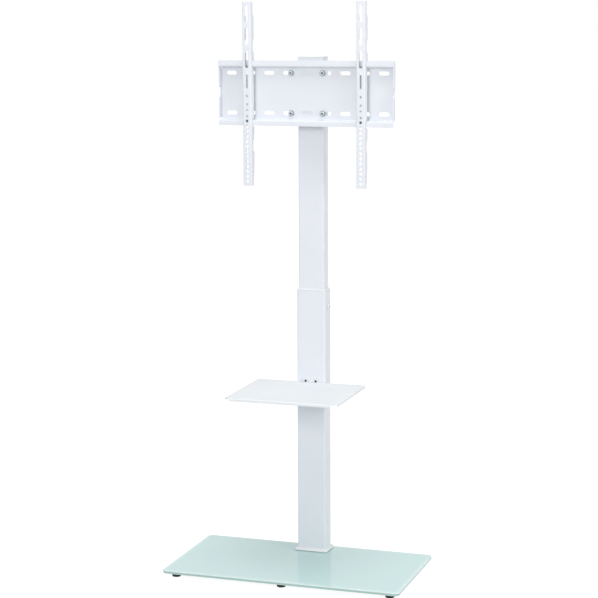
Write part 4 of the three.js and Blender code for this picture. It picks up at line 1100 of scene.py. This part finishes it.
for name, row in (("shelf_bolts_upper", UPPER_BOLTS), ("shelf_bolts_lower", LOWER_BOLTS)):
    bolt = screw_mesh(
        size(row[0]).y, head=0.0052, height=0.0026, shares=BLACK_HEAD_SHARES,
        recess=hexagon(0.0025), depth=0.0014, shank=0.004, pitch=0.0007,
    )
    add_set(
        name, turned(bolt, "X"), front_place, black_oxide, "stand", "black_steel", row,
        FRONT_TO_BACK, seed=7,
    )


# Stand-off and mount plate: a folded 3 mm channel on the head of the inner tube, and a 4 mm
# plate with round corners on its front. The wall plate is screwed to the plate.
STANDOFF_SHEET = 0.003
STANDOFF_END = 0.047269
STANDOFF_CORNER = 0.003
MOUNT_BORE = 0.0066
MOUNT_SCREWS = four("mount_screw")

low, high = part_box("standoff_channel")
rise = (high.z - low.z) / 2
edge = [(STANDOFF_END, end * rise, STANDOFF_CORNER) for end in (-1, 1)]
channel = blank(rounded_outline(edge), [], STANDOFF_SHEET, white_coat)
fold_sides(channel, 0, line=0.024, turn=-math.pi / 2, radius=0.0045)
moved(turned(channel, "X"), (0.0, low.y + STANDOFF_SHEET / 2, low.z + rise))
add_piece("standoff", channel, white_coat, "column_head", "white_steel", "standoff_channel")

width, _, rise = size("mount_plate")
place = middle("mount_plate")
rows = bores(MOUNT_SCREWS, MOUNT_BORE, place, up=2)
outline = rounded_rectangle(width, rise, corner=0.008)
mount = blank(outline, rows, thickness=0.004, finish=white_coat)
moved(turned(mount, "X"), place)
add_piece("mount_plate_shape", mount, white_coat, "column_head", "white_steel", "mount_plate")


# Wall plate: a 2 mm sheet pressed from one blank, with its lips turned up and down, waved
# side flanges and two rows of nine slots, all powder coated white.
WALL_SHEET = 0.002
WALL_CENTRE_DROP = 0.07975
WALL_HALF = 0.2225
TRAY_HALF = 0.2202
LIP_BEND = 0.077748
LIP_START = 0.0813
FLANGE_BEND = 0.06125
FLANGE_SLIT = FLANGE_BEND - SLIT
SIDE_BEND = 0.218
SIDE_TAB = 0.2236
SIDE_END = 0.235998
WAVE_HIGH = 0.01575
WAVE_STEP = 0.002
WAVE_DEPTH = 0.010
WAVE_LENGTH = 0.033
WAVE_STEPS = 14
WALL_SLOT = (0.0265, 0.010)
WALL_SLOT_PITCH = 0.0485
WALL_SLOT_COUNT = 9
WALL_ROWS = (0.04945, -0.04785)


def wave_points(steps):
    """The waved edge of a side flange, from below up, as a Bezier curve."""
    shallow = SIDE_END - WAVE_DEPTH
    lowest = WAVE_HIGH - WAVE_LENGTH
    poles = [
        (SIDE_END, lowest), (SIDE_END, WAVE_HIGH - WAVE_LENGTH / 2),
        (shallow, lowest), (shallow, WAVE_HIGH - WAVE_STEP),
    ]
    points = []
    for step in range(steps + 1):
        t = step / steps
        weights = [(1 - t) ** 3, 3 * t * (1 - t) ** 2, 3 * t * t * (1 - t), t ** 3]
        x = sum(weight * pole[0] for weight, pole in zip(weights, poles))
        y = sum(weight * pole[1] for weight, pole in zip(weights, poles))
        points.append((x, y, 0.0))
    return points


def in_lips(place):
    return abs(place.x) < (WALL_HALF + SIDE_TAB) / 2


def in_flanges(place):
    return abs(place.y) < FLANGE_BEND - SLIT / 2 or not in_lips(place)


# Right edge of the blank from below up: across and up from the middle, corner
WALL_EDGE = [
    (WALL_HALF, -0.093246, 0.003), (WALL_HALF, -LIP_START, 0.0), (TRAY_HALF, -LIP_START, 0.0),
    (TRAY_HALF, -FLANGE_BEND, 0.0), (SIDE_BEND, -FLANGE_BEND, 0.0),
    (SIDE_BEND, -FLANGE_SLIT, 0.0), (SIDE_END, -FLANGE_SLIT, 0.0015),
    *wave_points(WAVE_STEPS), (SIDE_END, WAVE_HIGH, 0.001), (SIDE_END, WALL_CENTRE_DROP, 0.003),
    (SIDE_TAB, WALL_CENTRE_DROP, 0.001), (SIDE_TAB, FLANGE_SLIT, 0.0),
    (SIDE_BEND, FLANGE_SLIT, 0.0), (SIDE_BEND, FLANGE_BEND, 0.0), (TRAY_HALF, FLANGE_BEND, 0.0),
    (TRAY_HALF, LIP_START, 0.0), (WALL_HALF, LIP_START, 0.0), (WALL_HALF, 0.094746, 0.003),
]
first_slot = -WALL_SLOT_PITCH * (WALL_SLOT_COUNT - 1) / 2
step = (WALL_SLOT_PITCH, 0.0, 0.0)
rows = [slot_row(*WALL_SLOT, (first_slot, row, 0.0), step, WALL_SLOT_COUNT) for row in WALL_ROWS]
wall = blank(rounded_outline(WALL_EDGE), rows, WALL_SHEET, white_coat)
for across, line, turn, bent in (
    (1, LIP_BEND, -math.pi / 2, in_lips),
    (1, FLANGE_BEND, math.pi / 2, in_lips),
    (0, SIDE_BEND, math.pi / 2, in_flanges),
):
    fold_sides(wall, across, line, turn, radius=0.0035, bent=bent, sides=(-1, 1))
low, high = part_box("wall_plate")
moved(turned(wall, "X"), (0.0, high.y - WALL_SHEET / 2, high.z - WALL_CENTRE_DROP))
add_piece("wall_plate_shape", wall, white_coat, "column_head", "white_steel", "wall_plate")


# Mount screws: zinc-plated pan heads with a cross recess, each on a plain washer, with
# hexagon nuts behind the mount plate.
PAN_HEAD = 0.011
PAN_HEAD_SHARES = [
    (0.37, 1.0), (0.43, 0.93), (0.475, 0.76), (0.497, 0.5), (0.5, 0.2), (0.49, 0.0),
]
CROSS_LENGTH = 0.0068
CROSS_WIDTH = 0.0021
WASHER_EDGE = 0.00015

pan_zinc_painted_shade, nodes = started_material("pan_zinc_painted_shade")
# Painted shade: each head darkens towards its rim, and the floor of its cross recess is near
# black.
first, last = middle(MOUNT_SCREWS[0]), middle(MOUNT_SCREWS[3])
spot = {0: nodes.coords(), 1: (first + last) / 2}
spot = nodes.node("ShaderNodeVectorMath", spot, operation="SUBTRACT")
spot = nodes.node("ShaderNodeVectorMath", {0: spot}, operation="ABSOLUTE")
apart = (abs(last.x - first.x) / 2, 0.0, abs(last.z - first.z) / 2)
reach = off_axis(nodes, spot, apart, (1.0, 0.0, 1.0))
rim_light_and_shade_share = nodes.share(reach, low=PAN_HEAD * 0.44, high=PAN_HEAD * 0.52)
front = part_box(MOUNT_SCREWS[0])[0].y
recess_shade_share = nodes.share(nodes.along("Y"), low=front + 0.0004, high=front + 0.0012)
shaded_head_colour = nodes.blend(recess_shade_share.least(1.0 - rim_light_and_shade_share), display(206, 214, 218), display(58, 66, 72))
haze = nodes.noise(scale=240.0, detail=3.0)
close_material(nodes, {
    "Base Color": nodes.blend(rim_light_and_shade_share, shaded_head_colour, display(148, 160, 166)),
    "Metallic": 0.6,
    "Roughness": 0.3 + 0.2 * haze,
    "Normal": nodes.relief(haze, strength=0.15, distance=0.00004),
})


def cross(length, width):
    """The rule of a cross: its reach at an angle."""
    def reach(angle):
        flat = max(abs(math.cos(angle)), MERGE)
        steep = max(abs(math.sin(angle)), MERGE)
        along = min(length / 2 / flat, width / 2 / steep)
        over = min(width / 2 / flat, length / 2 / steep)
        return max(along, over)
    return reach


arm_corner = math.atan(CROSS_WIDTH / CROSS_LENGTH)
in_quarter = (arm_corner, math.pi / 4, math.pi / 2 - arm_corner)
cross_corners = [quarter * math.pi / 2 + angle for quarter in range(4) for angle in in_quarter]
pan_screw = screw_mesh(
    size(MOUNT_SCREWS[0]).y, PAN_HEAD, height=0.004, shares=PAN_HEAD_SHARES,
    recess=cross(CROSS_LENGTH, CROSS_WIDTH), depth=0.002, shank=0.006, pitch=0.001,
    corners=cross_corners,
)
add_set(
    "mount_screws", turned(pan_screw, "X"), front_place, pan_zinc_painted_shade, "column_head", "zinc",
    MOUNT_SCREWS, FRONT_TO_BACK, seed=11,
)

radius = size("mount_washer_1").x / 2
half = size("mount_washer_1").y / 2
inner = radius - WASHER_EDGE
washer = lathed([
    (MOUNT_BORE / 2, -half), (inner, -half), (radius, WASHER_EDGE - half),
    (radius, half - WASHER_EDGE), (inner, half), (MOUNT_BORE / 2, half),
], FINE_TURN_STEPS, closed=True)
mount_nut = nut_mesh(flats=0.010, bore=MOUNT_BORE, height=size("mount_nut_1").y)
for name, part, kind, seed in (
    ("mount_washers", washer, "mount_washer", 13), ("mount_nuts", mount_nut, "mount_nut", 17),
):
    add_set(
        name, turned(part, "X"), middle, bright_zinc, "column_head", "zinc", four(kind),
        FRONT_TO_BACK, seed,
    )


# Arms: channels folded from 2 mm sheet, their rear edges stepped, with a hook that hangs over
# the upper lip of the wall plate, three slots, a slit, small holes and a row of round holes.
ARM_SHEET = 0.002
ARM_TURNED = 0.008177
ARM_TOP = 0.141
# Rear edge of an arm from below up: depth behind its front, height over the lip, corner
ARM_EDGE = [
    (0.0145, -0.305, 0.004), (0.0145, -0.301, 0.0), (0.021, -0.259, 0.003),
    (0.021, -0.221, 0.002), (0.0145, -0.218, 0.002), (0.0145, -0.195, 0.002),
    (0.021, -0.192, 0.002), (0.021, -0.1616, 0.001), (0.0074, -0.1586, 0.0),
    (0.0074, -0.1429, 0.001), (0.015, -0.1429, 0.002), (0.019, -0.1389, 0.002),
    (0.019, -0.0206, 0.002), (0.015, -0.0166, 0.002), (0.0074, -0.0166, 0.001),
    (0.0074, 0.0003, 0.0005), (0.0106, 0.0003, 0.0005), (0.0106, -0.0109, 0.001),
    (0.022, -0.0109, 0.004), (0.022, 0.0175, 0.004), (0.0145, 0.0225, 0.004),
    (0.0145, 0.047, 0.002), (0.021, 0.050, 0.002), (0.021, 0.106, 0.002),
    (0.0145, 0.109, 0.002), (0.0145, ARM_TOP, 0.004),
]
# Places of holes are measured down from the top of the arm
ARM_SLOT = (0.0085, 0.042)
ARM_SLOT_STARTS = (0.0083, 0.0622, 0.1172)
SLIT_SLOT = (0.0045, 0.041)
SLIT_START = 0.167
SMALL_HOLE = 0.005
SMALL_HOLE_PLACES = (0.227, 0.247, 0.2615, 0.276)
GRUB_BORE = 0.0066
ROW_HOLE = 0.007
ROW_START = 0.3005
ROW_PITCH = 0.0122
ROW_COUNT = 12


def below_top(distance):
    return (0.0, ARM_TOP - distance, 0.0)


rows = [slot_row(*ARM_SLOT, below_top(start + ARM_SLOT[1] / 2)) for start in ARM_SLOT_STARTS]
rows.append(slot_row(*SLIT_SLOT, below_top(SLIT_START + SLIT_SLOT[1] / 2)))
rows += [round_row(SMALL_HOLE, below_top(place)) for place in SMALL_HOLE_PLACES]
grub_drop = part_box("left_arm")[1].z - middle("left_arm_lock_screw").z
rows.append(round_row(GRUB_BORE, below_top(grub_drop)))
rows.append(round_row(ROW_HOLE, below_top(ROW_START), (0.0, -ROW_PITCH, 0.0), ROW_COUNT))
edge = [(depth + ARM_TURNED, up, corner) for depth, up, corner in ARM_EDGE]
arm = blank(rounded_outline(edge), rows, ARM_SHEET, white_coat)
fold_sides(arm, 0, line=0.00775, turn=-math.pi / 2, radius=0.0025)
turned(arm, "X")
for side in ("left", "right"):
    low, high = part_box(f"{side}_arm")
    place = ((low.x + high.x) / 2, low.y + ARM_SHEET / 2, high.z - ARM_TOP)
    mesh = moved(arm.copy(), place)
    add_piece(
        f"{side}_arm_shape", mesh, white_coat, f"{side}_arm_set", "white_steel", f"{side}_arm",
    )


# Grub screws: black socket set screws flush in the front of each arm, threaded through a
# square nut inside it. Their tips press on the lower lip of the wall plate.
GRUB = 0.006

grey_oxide = clouded(
    "grey_oxide", (92, 96, 101), (122, 126, 130), cloud=(700.0, 3.0), grain=(700.0, 3.0),
    relief=(0.15, 0.00004), rough=0.4, spread=0.2, metallic=0.4,
)

for side in ("left", "right"):
    node = f"{side}_arm_lock_screw"
    grub = screw_mesh(
        size(node).y, GRUB, height=0.0008, shares=[(0.4, 1.0), (0.47, 0.5)],
        recess=hexagon(0.0026), depth=0.003, shank=GRUB, pitch=0.001,
    )
    moved(turned(grub, "X"), front_place(node))
    add_piece(f"{side}_grub_screw", grub, grey_oxide, f"{side}_arm_lock", "black_steel", node)
    finish_node(f"{side}_arm_nut", bright_zinc)
